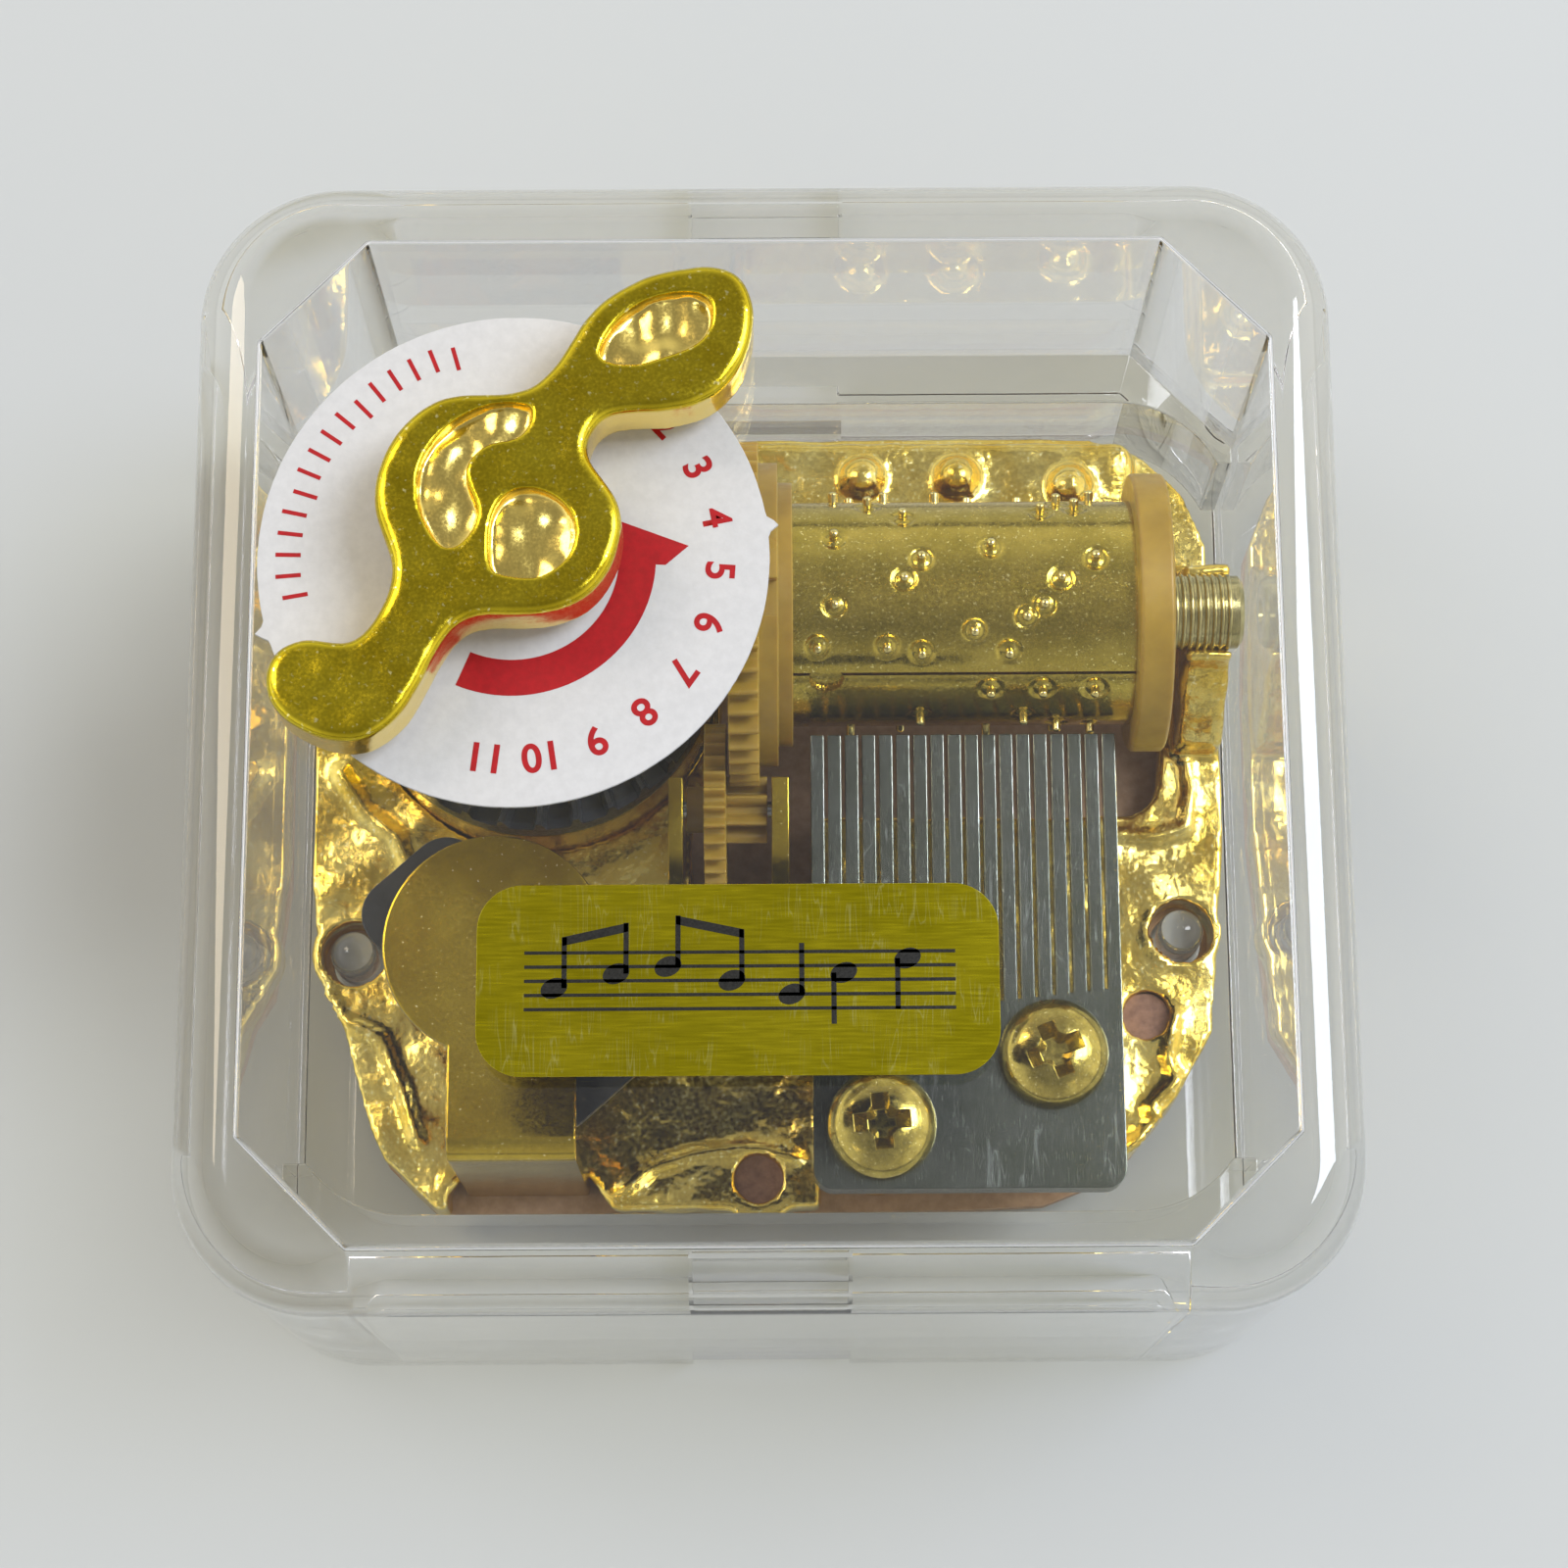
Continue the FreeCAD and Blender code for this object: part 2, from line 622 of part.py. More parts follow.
def make_worm():
    pitch = math.pi * fine_module
    lead = pitch * worm_starts
    root = 0.5
    tip = worm_pitch_radius + 0.25
    z0 = third_z - worm_length / 2.0
    core = rod_z(governor_x, governor_y, pad_top + 1.0, governor_cover_top - 0.45, small_shaft_radius)
    core = core.fuse(rod_z(governor_x, governor_y, z0 - 0.6, z0 + worm_length + 0.6, root))
    for start in range(worm_starts):
        helix = Part.makeHelix(lead, worm_length, root)
        profile = Part.makePolygon([Vec(root - 0.1, 0, -0.17), Vec(tip, 0, -0.07), Vec(tip, 0, 0.07),
                                    Vec(root - 0.1, 0, 0.17), Vec(root - 0.1, 0, -0.17)])
        sweep = Part.BRepOffsetAPI.MakePipeShell(Part.Wire(helix.Edges))
        sweep.setFrenetMode(True)
        sweep.add(profile)
        sweep.build()
        sweep.makeSolid()
        thread = sweep.shape()
        turn = 90.0 + 360.0 * start / worm_starts - 360.0 * (worm_length / 2.0) / lead
        thread.rotate(Vec(0, 0, 0), Vec(0, 0, 1), turn)
        thread.translate(Vec(governor_x, governor_y, z0))
        core = core.fuse(thread)
    return core.removeSplitter()


def make_fan():
    fan = rod_z(governor_x, governor_y, fan_bottom - 0.4, fan_bottom + 1.5, fan_hub_radius)
    half_length = fan_length / 2.0
    half_width = fan_width / 2.0
    vane = rounded_slab(-half_length, half_length, -half_width, half_width,
                        fan_bottom, fan_bottom + fan_thickness, fan_corner_radius)
    for side in (-1, 1):
        waist = rod_z(0.0, side * (half_width + 1.4), fan_bottom - 1.0, fan_bottom + 2.0, 3.4)
        vane = vane.cut(waist)
    vane.rotate(Vec(0, 0, 0), Vec(0, 0, 1), fan_turn)
    vane.translate(Vec(governor_x, governor_y, 0))
    fan = fan.fuse(vane)
    return fan.cut(rod_z(governor_x, governor_y, 10, 20, small_shaft_radius)).removeSplitter()


def make_governor_cover():
    z1 = governor_cover_top
    z0 = z1 - governor_sheet
    left = governor_leg_left
    right = governor_leg_right
    front = governor_leg_front
    strip = box(left, right, front, governor_lobe_y, z0, z1)
    leg = box(left, right, front, front + governor_sheet, pad_top, z1)
    angle_piece = strip.fuse(leg).removeSplitter()
    corner = [edge for edge in angle_piece.Edges if is_front_corner(edge, front, z1)]
    cover = angle_piece.makeFillet(1.2, corner)
    cover = cover.fuse(rod_z(governor_lobe_x, governor_lobe_y, z0, z1, governor_lobe_radius))
    bore = rod_z(governor_x, governor_y, z0 - 1, z1 - 0.35, small_shaft_radius + shaft_bore_gap)
    return cover.cut(bore).removeSplitter()


def is_front_corner(edge, y, z):
    return all(abs(v.Y - y) < 1e-6 and abs(v.Z - z) < 1e-6 for v in edge.Vertexes)


def make_governor_bracket():
    x0 = governor_x - governor_cheek_offset
    front = third_y - 2.6
    back = third_y + 2.6
    cheek = side_prism(((front, sheet_foot), (front, 9.0), (third_y - 1.4, third_z + 1.8),
                        (third_y + 1.4, third_z + 1.8), (back, 9.0), (back, sheet_foot)), x0, x0 + 0.8)
    foot = box(x0 - 3.0, x0 + 0.8, front, back, sheet_foot, sheet_foot + 0.8)
    bracket = cheek.fuse(foot)
    bore = rod_x(-30, -10, third_y, third_z, small_shaft_radius + shaft_bore_gap)
    return bracket.cut(bore).removeSplitter()


def make_gear_bracket():
    outline = ((-8.4, sheet_foot), (-8.4, 11.4), (-6.6, 12.9), (-3.2, 14.4),
               (0.7, 14.4), (1.0, 12.0), (0.4, sheet_foot))
    left = side_prism(outline, left_cheek_x, left_cheek_x + 0.8)
    right = side_prism(outline, right_cheek_x, right_cheek_x + 0.95)
    floor = box(left_cheek_x, right_cheek_x + 0.95, -8.4, -6.4, sheet_foot, sheet_foot + 0.8)
    bracket = left.fuse(right).fuse(floor)
    for y, z in ((second_y, second_z), (third_y, third_z)):
        bracket = bracket.cut(rod_x(-10, 10, y, z, small_shaft_radius + shaft_bore_gap))
    return bracket.removeSplitter()


def make_comb():
    body_front = -13.4
    right = comb_left + comb_width
    z0 = comb_top - comb_thickness
    body = box(comb_left, right, comb_back_y, body_front, z0, comb_top)
    rear = [edge for edge in upright_edges(body, 0, 20) if edge.Vertexes[0].Y < comb_back_y + 0.1]
    body = body.makeFillet(comb_corner_radius, rear)
    tines = box(comb_left, right, body_front - 0.2, comb_tip_y, comb_top - tine_thickness, comb_top)
    comb = body.fuse(tines)
    slots = []
    for gap in range(1, tine_count):
        x = comb_left + gap * tine_pitch - tine_gap
        slot_end = -11.3 - 1.9 * (tine_count - gap) / tine_count
        slots.append(box(x, x + tine_gap, slot_end, comb_tip_y + 1, z0 - 1, comb_top + 1))
    comb = comb.cut(Part.makeCompound(slots))
    for x, y in comb_screw_places:
        comb = comb.cut(rod_z(x, y, z0 - 1, comb_top + 1, comb_screw_shank))
    return comb.removeSplitter()


def make_comb_screws():
    screws = []
    for place, turn in zip(comb_screw_places, (20.0, 3.0)):
        x, y = place
        head = rod_z(x, y, comb_top, comb_top + comb_screw_head_height, comb_screw_head_radius)
        head = head.makeFillet(1.1, edges_at_height(head, comb_top + comb_screw_head_height))
        top = comb_top + comb_screw_head_height
        cross = box(x - 1.7, x + 1.7, y - 0.45, y + 0.45, top - 1.1, top + 1)
        cross = cross.fuse(box(x - 0.45, x + 0.45, y - 1.7, y + 1.7, top - 1.1, top + 1))
        cross.rotate(Vec(x, y, 0), Vec(0, 0, 1), turn)
        shank = rod_z(x, y, comb_top - comb_thickness - 4.0, comb_top, comb_screw_shank)
        screws.append(head.cut(cross).fuse(shank).removeSplitter())
    return Part.makeCompound(screws)


def make_drive_gear():
    gear = rod_z(arbor_x, arbor_y, drive_bottom, crown_root_z, crown_outer_radius)
    ring = rod_z(arbor_x, arbor_y, crown_root_z, crown_tip_z, crown_outer_radius)
    ring = ring.cut(rod_z(arbor_x, arbor_y, crown_root_z, crown_tip_z, crown_inner_radius))
    offset = axis_y - arbor_y
    half_top = crown_tooth_width * 0.3
    half_root = crown_tooth_width * 0.75
    tooth = side_prism(((-half_root, crown_root_z - 0.1), (half_root, crown_root_z - 0.1),
                        (half_top, crown_tip_z), (-half_top, crown_tip_z)), 0.0, crown_outer_radius + 2)
    tooth.translate(Vec(arbor_x, arbor_y + offset, 0))
    teeth = []
    for index in range(crown_teeth):
        one = tooth.copy()
        one.rotate(Vec(arbor_x, arbor_y, 0), Vec(0, 0, 1), 360.0 * index / crown_teeth)
        teeth.append(one.common(ring))
    gear = gear.multiFuse(teeth)
    return gear.cut(rod_z(arbor_x, arbor_y, 0, 20, arbor_radius + shaft_bore_gap)).removeSplitter()


def make_clutch():
    radius = arbor_radius + 0.12 + clutch_wire
    height = crown_tip_z - crown_root_z - 0.3
    helix = Part.makeHelix(height / clutch_turns, height, radius)
    ring = Part.Wire(Part.makeCircle(clutch_wire * 0.45, Vec(radius, 0, 0), Vec(0, 1, 0)))
    sweep = Part.BRepOffsetAPI.MakePipeShell(Part.Wire(helix.Edges))
    sweep.setFrenetMode(True)
    sweep.add(ring)
    sweep.build()
    sweep.makeSolid()
    coil = sweep.shape()
    coil.translate(Vec(arbor_x, arbor_y, crown_root_z + clutch_wire * 0.45))
    return coil


def make_arbor():
    top = key_bottom + key_bore_depth
    arbor = rod_z(arbor_x, arbor_y, pad_top, top, arbor_radius)
    return arbor.makeFillet(0.3, edges_at_height(arbor, top))


def key_outline():
    """Clef outline, tip of the loop first, then clockwise."""
    return (
        (-3.6, 22.7), (-0.9, 21.6), (-0.6, 19.4), (-2.4, 15.9), (-5.7, 14.9), (-8.3, 14.4), (-9.0, 13.0),
        (-7.6, 10.4), (-7.5, 7.4), (-9.2, 5.0), (-12.4, 4.2), (-15.1, 3.9), (-16.5, 2.2), (-18.3, -1.0),
        (-20.0, -2.2), (-22.9, -1.8), (-24.7, -0.2), (-24.7, 1.9), (-23.2, 2.9), (-20.9, 2.8),
        (-19.3, 4.5), (-18.8, 6.9), (-19.6, 9.4), (-19.3, 12.6), (-16.1, 15.7), (-12.0, 16.2),
        (-10.5, 17.6), (-8.8, 20.3), (-6.4, 22.0),
    )


def recess_outlines():
    """Hollows in the key: loop, crescent and half moon."""
    loop = ((-8.4, 18.0), (-7.3, 19.9), (-4.6, 21.2), (-2.9, 20.9), (-3.0, 18.9), (-5.2, 17.7),
            (-7.2, 17.3))
    crescent = ((-12.1, 15.2), (-15.5, 14.5), (-17.4, 12.0), (-17.1, 8.9), (-15.9, 7.6), (-14.5, 9.4),
                (-15.1, 11.6), (-13.9, 13.1), (-12.2, 13.7))
    moon = ((-13.9, 7.2), (-11.2, 10.6), (-9.7, 9.2), (-9.9, 7.2), (-11.9, 6.0), (-13.3, 6.2))
    return loop, crescent, moon


def make_key():
    top = key_bottom + key_thickness
    body = Part.Face(closed_spline(key_outline(), key_bottom)).extrude(Vec(0, 0, key_thickness))
    body = body.makeFillet(key_edge, edges_at_height(body, top))
    for points in recess_outlines():
        hollow = Part.Face(closed_spline(points, top - key_recess_depth)).extrude(Vec(0, 0, 2))
        body = body.cut(hollow)
    body = body.fuse(rod_z(arbor_x, arbor_y, key_hub_bottom, key_bottom, key_hub_radius))
    return body.cut(rod_z(arbor_x, arbor_y, key_hub_bottom - 1, key_bottom + key_bore_depth, arbor_radius))


def make_disc():
    disc = rod_z(arbor_x, arbor_y, case_height, case_height + disc_thickness, disc_radius)
    return disc.cut(rod_z(arbor_x, arbor_y, case_height - 1, case_height + 1, disc_hole_radius))


def make_label():
    return rounded_slab(label_x - label_width / 2.0, label_x + label_width / 2.0,
                        label_y - label_depth / 2.0, label_y + label_depth / 2.0,
                        case_height, case_height + label_thickness, label_radius)


def nodes():
    return {
        "case_cover": make_cover(),
        "case_tray": make_tray(),
        "movement_pad": make_pad(),
        "base_plate": make_base(),
        "foot_screws": make_foot_screws(),
        "spring_cup": make_cup(),
        "mainspring": make_mainspring(),
        "motor_bridge": make_bridge(),
        "cylinder_barrel": make_barrel(),
        "cylinder_gear": make_cylinder_gear(),
        "cylinder_cap": make_cylinder_cap(),
        "cylinder_shaft": rod_x(crown_pinion_left - 1.6, 25.0, axis_y, axis_z, shaft_radius),
        "pivot_bush": make_bush(),
        "second_wheel": make_second_wheel(),
        "second_shaft": rod_x(left_cheek_x, right_cheek_x + 0.95, second_y, second_z, small_shaft_radius),
        "third_pinion": make_third_pinion(),
        "worm_wheel": make_worm_wheel(),
        "third_shaft": rod_x(governor_x - governor_cheek_offset, right_cheek_x + 0.95, third_y, third_z,
                             small_shaft_radius),
        "governor_worm": make_worm(),
        "governor_fan": make_fan(),
        "governor_cover": make_governor_cover(),
        "governor_bracket": make_governor_bracket(),
        "gear_bracket": make_gear_bracket(),
        "comb": make_comb(),
        "comb_screws": make_comb_screws(),
        "drive_gear": make_drive_gear(),
        "clutch_spring": make_clutch(),
        "winding_arbor": make_arbor(),
        "winding_key": make_key(),
        "winding_disc": make_disc(),
        "title_label": make_label(),
    }


def main():
    os.makedirs("parts", exist_ok=True)
    for name, shape in nodes().items():
        shape.exportStep(os.path.join("parts", name + ".step"))
        print(name, len(shape.Solids), "solids", round(shape.Volume, 2), "mm3", shape.isValid())


main()
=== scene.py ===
import json
import math

import bmesh
import bpy
import numpy as np
from mathutils import Euler, Matrix, Vector, noise

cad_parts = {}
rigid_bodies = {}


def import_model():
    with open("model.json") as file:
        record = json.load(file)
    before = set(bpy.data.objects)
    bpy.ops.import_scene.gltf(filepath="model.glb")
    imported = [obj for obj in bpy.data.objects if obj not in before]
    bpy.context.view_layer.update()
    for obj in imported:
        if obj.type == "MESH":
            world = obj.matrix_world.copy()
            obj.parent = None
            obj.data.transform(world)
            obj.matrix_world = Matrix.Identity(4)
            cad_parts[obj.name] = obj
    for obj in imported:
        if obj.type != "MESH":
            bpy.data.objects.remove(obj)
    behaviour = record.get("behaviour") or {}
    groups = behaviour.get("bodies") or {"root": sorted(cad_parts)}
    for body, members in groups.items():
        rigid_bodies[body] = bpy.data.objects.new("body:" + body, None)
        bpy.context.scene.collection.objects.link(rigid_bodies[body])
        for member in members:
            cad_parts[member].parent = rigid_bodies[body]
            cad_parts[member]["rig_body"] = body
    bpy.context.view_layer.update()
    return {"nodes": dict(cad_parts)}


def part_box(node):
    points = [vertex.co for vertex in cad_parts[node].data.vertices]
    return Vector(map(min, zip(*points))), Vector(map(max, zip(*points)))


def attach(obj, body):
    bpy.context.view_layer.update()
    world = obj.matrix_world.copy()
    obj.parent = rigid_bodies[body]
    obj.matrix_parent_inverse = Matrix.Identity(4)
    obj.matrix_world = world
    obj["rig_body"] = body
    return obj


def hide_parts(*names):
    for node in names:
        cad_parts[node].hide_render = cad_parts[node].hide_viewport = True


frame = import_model()
nodes = frame["nodes"]
mm = 0.001
print("frame loaded:", len(nodes), "nodes")


def colour(hexText):  # sRGB hex to linear
    parts = [int(hexText[i:i + 2], 16) / 255 for i in (1, 3, 5)]
    return tuple(p / 12.92 if p <= 0.04045 else ((p + 0.055) / 1.055) ** 2.4 for p in parts) + (1.0,)


def addNode(tree, kind, settings=None, links=None):  # capitalised or numbered keys are sockets
    node = tree.nodes.new(kind)
    for key, value in (settings or {}).items():
        if isinstance(key, int) or key[0].isupper():
            node.inputs[key].default_value = value
        else:
            setattr(node, key, value)
    for key, source in (links or {}).items():
        tree.links.new(source, node.inputs[key])
    return node


def startMaterial(name, shaderSettings):
    material = bpy.data.materials.new(name)
    material.use_nodes = True
    tree = material.node_tree
    tree.nodes.clear()
    shader = addNode(tree, "ShaderNodeBsdfPrincipled", shaderSettings)
    out = addNode(tree, "ShaderNodeOutputMaterial", None, {"Surface": shader.outputs[0]})
    place = addNode(tree, "ShaderNodeTexCoord")
    inMm = addNode(tree, "ShaderNodeMapping", {"Scale": (1000, 1000, 1000)},
                   {"Vector": place.outputs["Object"]})
    return material, tree, shader, out, inMm.outputs[0]


def finish(name, spec):  # spec sizes are in mm; a stretch lengthens the pattern along an axis
    material, tree, shader, out, mmPlace = startMaterial(name, spec.get("shader", {}))
    patch = addNode(tree, "ShaderNodeTexNoise", {"Scale": 1 / spec["patch"], "Detail": 5, "Roughness": 0.6},
                    {"Vector": mmPlace})
    spread = addNode(tree, "ShaderNodeMapRange", {1: 0.35, 2: 0.65}, {0: patch.outputs[0]})
    first, second = (colour(hexText) for hexText in spec["colours"])
    shade = addNode(tree, "ShaderNodeMix", {"data_type": "RGBA", 6: first, 7: second}, {0: spread.outputs[0]})
    # painted glints: pale specks mixed into the base colour stand in for sparkling highlights
    if "paintedGlint" in spec:
        hexText, size, low, high = spec["paintedGlint"]
        glintNoise = addNode(tree, "ShaderNodeTexNoise", {"Scale": 1 / size, "Detail": 2}, {"Vector": mmPlace})
        glintMask = addNode(tree, "ShaderNodeMapRange", {1: low, 2: high}, {0: glintNoise.outputs[0]})
        shade = addNode(tree, "ShaderNodeMix", {"data_type": "RGBA", 7: colour(hexText)},
                        {0: glintMask.outputs[0], 6: shade.outputs[2]})
    if "below" in spec:  # another colour below a height, for the floors of recesses
        hexText, high, low = spec["below"]
        split = addNode(tree, "ShaderNodeSeparateXYZ", None, {0: mmPlace})
        depth = addNode(tree, "ShaderNodeMapRange", {1: high, 2: low}, {0: split.outputs[2]})
        shade = addNode(tree, "ShaderNodeMix", {"data_type": "RGBA", 7: colour(hexText)},
                        {0: depth.outputs[0], 6: shade.outputs[2]})
    roughSource = patch.outputs[0]
    normal = None
    for size, depth, stretch in spec.get("brush", []) + [(s, d, (1, 1, 1)) for s, d in spec.get("grain", [])]:
        squeeze = addNode(tree, "ShaderNodeMapping", {"Scale": tuple(1 / (size * k) for k in stretch)},
                          {"Vector": mmPlace})
        relief = addNode(tree, "ShaderNodeTexNoise", {"Scale": 1.0, "Detail": 3},
                         {"Vector": squeeze.outputs[0]})
        links = {"Height": relief.outputs[0]}
        if normal:
            links["Normal"] = normal
        bump = addNode(tree, "ShaderNodeBump", {"Strength": 1.0, "Distance": depth * mm}, links)
        normal = bump.outputs[0]
        roughSource = relief.outputs[0]
    if "scratch" in spec:  # thin lines where a stretched noise crosses its middle value
        hexText, size, width, amount, depth = spec["scratch"]
        for turn in spec["scratchTurns"]:
            lay = addNode(tree, "ShaderNodeMapping",
                          {"Rotation": (0, 0, turn), "Scale": (1 / size, 1 / (size * 14), 1 / size)},
                          {"Vector": mmPlace})
            field = addNode(tree, "ShaderNodeTexNoise", {"Scale": 1.0, "Detail": 1},
                            {"Vector": lay.outputs[0]})
            away = addNode(tree, "ShaderNodeMath", {"operation": "SUBTRACT", 1: 0.5}, {0: field.outputs[0]})
            offLine = addNode(tree, "ShaderNodeMath", {"operation": "ABSOLUTE"}, {0: away.outputs[0]})
            line = addNode(tree, "ShaderNodeMapRange", {1: width, 2: 0.0, 3: 0.0, 4: amount},
                           {0: offLine.outputs[0]})
            gap = addNode(tree, "ShaderNodeTexNoise", {"Scale": 1 / (size * 2.5)}, {"Vector": mmPlace})
            gapMask = addNode(tree, "ShaderNodeMapRange", {1: 0.47, 2: 0.58}, {0: gap.outputs[0]})
            both = addNode(tree, "ShaderNodeMath", {"operation": "MULTIPLY"},
                           {0: line.outputs[0], 1: gapMask.outputs[0]})
            shade = addNode(tree, "ShaderNodeMix", {"data_type": "RGBA", 7: colour(hexText)},
                            {0: both.outputs[0], 6: shade.outputs[2]})
            links = {"Height": both.outputs[0]}
            if normal:
                links["Normal"] = normal
            bump = addNode(tree, "ShaderNodeBump", {"Strength": 1.0, "Distance": depth * mm}, links)
            normal = bump.outputs[0]
    low, high = spec["rough"]
    rough = addNode(tree, "ShaderNodeMapRange", {1: 0.3, 2: 0.7, 3: low, 4: high}, {0: roughSource})
    tree.links.new(shade.outputs[2], shader.inputs["Base Color"])
    tree.links.new(rough.outputs[0], shader.inputs["Roughness"])
    if normal:
        tree.links.new(normal, shader.inputs["Normal"])
    return material


def roundedLoop(halfX, halfY, radius, steps, z, middle=(0, 0)):
    points = []
    for sx, sy, start in ((1, 1, 0), (-1, 1, 90), (-1, -1, 180), (1, -1, 270)):
        for step in range(steps + 1):
            angle = math.radians(start + 90 * step / steps)
            points.append((middle[0] + sx * (halfX - radius) + radius * math.cos(angle),
                           middle[1] + sy * (halfY - radius) + radius * math.sin(angle), z))
    return points


def roundedCorners(corners, radius, steps, z):  # a polygon with its corners rounded
    points = []
    count = len(corners)
    for index in range(count):
        here = Vector(corners[index])
        back = (Vector(corners[index - 1]) - here).normalized()
        ahead = (Vector(corners[(index + 1) % count]) - here).normalized()
        half = math.acos(max(-1, min(1, back.dot(ahead)))) / 2
        setBack = radius / math.tan(half)
        start, end = here + back * setBack, here + ahead * setBack
        centre = here + (back + ahead).normalized() * (radius / math.sin(half))
        first = math.atan2(*(start - centre).yx)
        sweep = (math.atan2(*(end - centre).yx) - first + math.pi) % (2 * math.pi) - math.pi
        for step in range(steps + 1):
            angle = first + sweep * step / steps
            points.append((centre.x + radius * math.cos(angle), centre.y + radius * math.sin(angle), z))
    return points


def loft(loops):  # loops of equal length joined into a closed skin, in mm
    shell = bmesh.new()
    rings = [[shell.verts.new(p) for p in loop] for loop in loops]
    for lower, upper in zip(rings, rings[1:]):
        for i in range(len(lower)):
            j = (i + 1) % len(lower)
            shell.faces.new((lower[i], lower[j], upper[j], upper[i]))
    shell.faces.new(list(reversed(rings[0])))
    shell.faces.new(rings[-1])
    bmesh.ops.recalc_face_normals(shell, faces=shell.faces)
    return shell


def lathe(profile, steps):  # profile of (radius, z); a radius of 0 closes on the axis
    shell = bmesh.new()
    rings = []
    angles = [2 * math.pi * i / steps for i in range(steps)]
    for radius, z in profile:
        if radius < 1e-9:
            rings.append([shell.verts.new((0, 0, z))] * steps)
        else:
            rings.append([shell.verts.new((radius * math.cos(a), radius * math.sin(a), z)) for a in angles])
    for lower, upper in zip(rings, rings[1:]):
        for i in range(steps):
            j = (i + 1) % steps
            corners = []
            for vert in (lower[i], lower[j], upper[j], upper[i]):
                if vert not in corners:
                    corners.append(vert)
            if len(corners) > 2:
                shell.faces.new(corners)
    bmesh.ops.recalc_face_normals(shell, faces=shell.faces)
    return shell


def toMesh(name, shell):
    mesh = bpy.data.meshes.new(name)
    shell.to_mesh(mesh)
    shell.free()
    return mesh


def toObject(name, shell):  # shell may be a bmesh or a mesh, in mm
    mesh = toMesh(name, shell) if isinstance(shell, bmesh.types.BMesh) else shell
    made = bpy.data.objects.new(name, mesh)
    bpy.context.scene.collection.objects.link(made)
    return made


def cleanCopy(source):  # a CAD node's surface as merged flat faces, in mm
    data = nodes[source].data
    shell = bmesh.new()
    verts = [shell.verts.new(v.co * 1000) for v in data.vertices]
    for face in data.polygons:
        try:
            shell.faces.new([verts[i] for i in face.vertices])
        except ValueError:
            pass
    bmesh.ops.remove_doubles(shell, verts=shell.verts, dist=0.0004)
    return shell


def reach(node):  # a CAD node's lowest corner, highest corner and centre, in mm
    low, high = ([round(v / mm, 3) for v in corner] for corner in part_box(node))
    return low, high, [round((a + b) / 2, 3) for a, b in zip(low, high)]


def flattened(shell):  # merges the triangles of each flat face
    bmesh.ops.dissolve_limit(shell, angle_limit=math.radians(1.0), verts=shell.verts, edges=shell.edges)
    return shell


def evaluated(made, modifiers=()):  # runs modifiers given as (type, settings) and returns a plain mesh
    for kind, settings in modifiers:
        modifier = made.modifiers.new(kind.title(), kind)
        for key, value in settings.items():
            setattr(modifier, key, value)
    bpy.context.view_layer.update()
    graph = bpy.context.evaluated_depsgraph_get()
    mesh = bpy.data.meshes.new_from_object(made.evaluated_get(graph))
    made.modifiers.clear()
    return mesh


def discard(made):
    bpy.data.objects.remove(made)


def settle(name, mesh, material, body, replaced=(), smooth=40):  # mesh in mm becomes a piece
    mesh.shade_smooth()
    if smooth:  # large faces keep their own flat normals beside rounded edges
        mesh.set_sharp_from_angle(angle=math.radians(smooth))
        raw = toObject(name + "Raw", mesh)
        mesh = evaluated(raw, [("WEIGHTED_NORMAL", {"mode": "FACE_AREA", "weight": 50, "keep_sharp": True})])
        discard(raw)
    mesh.transform(Matrix.Scale(mm, 4))
    mesh.name = name
    mesh.materials.clear()
    mesh.materials.append(material)
    piece = bpy.data.objects.new(name, mesh)
    bpy.context.scene.collection.objects.link(piece)
    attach(piece, body)
    if replaced:
        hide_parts(*replaced)
    return piece


def cut(shape, tools):  # subtracts each tool object from shape
    steps = [("BOOLEAN", {"operation": "DIFFERENCE", "solver": "EXACT", "object": tool}) for tool in tools]
    mesh = evaluated(shape, steps)
    for item in [shape] + list(tools):
        discard(item)
    return mesh


def startGrowth(name, sizes):  # a Geometry Nodes tree with one input for each size
    tree = bpy.data.node_groups.new(name, "GeometryNodeTree")
    tree.interface.new_socket(name="Geometry", in_out="INPUT", socket_type="NodeSocketGeometry")
    keys = {}
    for size, value in sizes.items():
        kind = "NodeSocketInt" if isinstance(value, int) else "NodeSocketFloat"
        keys[size] = tree.interface.new_socket(name=size, in_out="INPUT", socket_type=kind).identifier
    tree.interface.new_socket(name="Geometry", in_out="OUTPUT", socket_type="NodeSocketGeometry")
    source = addNode(tree, "NodeGroupInput")
    return tree, source, keys


def endGrowth(tree, socket, material):
    real = addNode(tree, "GeometryNodeRealizeInstances", None, {0: socket})
    painted = addNode(tree, "GeometryNodeSetMaterial", {"Material": material}, {"Geometry": real.outputs[0]})
    addNode(tree, "NodeGroupOutput", None, {0: painted.outputs[0]})


def grow(name, seedMesh, tree, keys, sizes):  # runs the tree on a seed mesh and returns a plain mesh
    seedObject = toObject(name + "Seed", seedMesh)
    modifier = seedObject.modifiers.new(name, "NODES")
    modifier.node_group = tree
    for size, value in sizes.items():
        modifier[keys[size]] = value
    mesh = evaluated(seedObject)
    discard(seedObject)
    return mesh


def pointMesh(name, places, leans=None):  # bare points, each with a direction to lean along
    mesh = bpy.data.meshes.new(name)
    mesh.from_pydata(places, [], [])
    lean = mesh.attributes.new("lean", "FLOAT_VECTOR", "POINT")
    lean.data.foreach_set("vector", np.array(leans or [(0, 0, 1)] * len(places), np.float32).ravel())
    return mesh


def slab(outline, z0, z1):  # a flat closed outline given thickness
    return loft([[(x, y, z) for x, y in outline] for z in (z0, z1)])


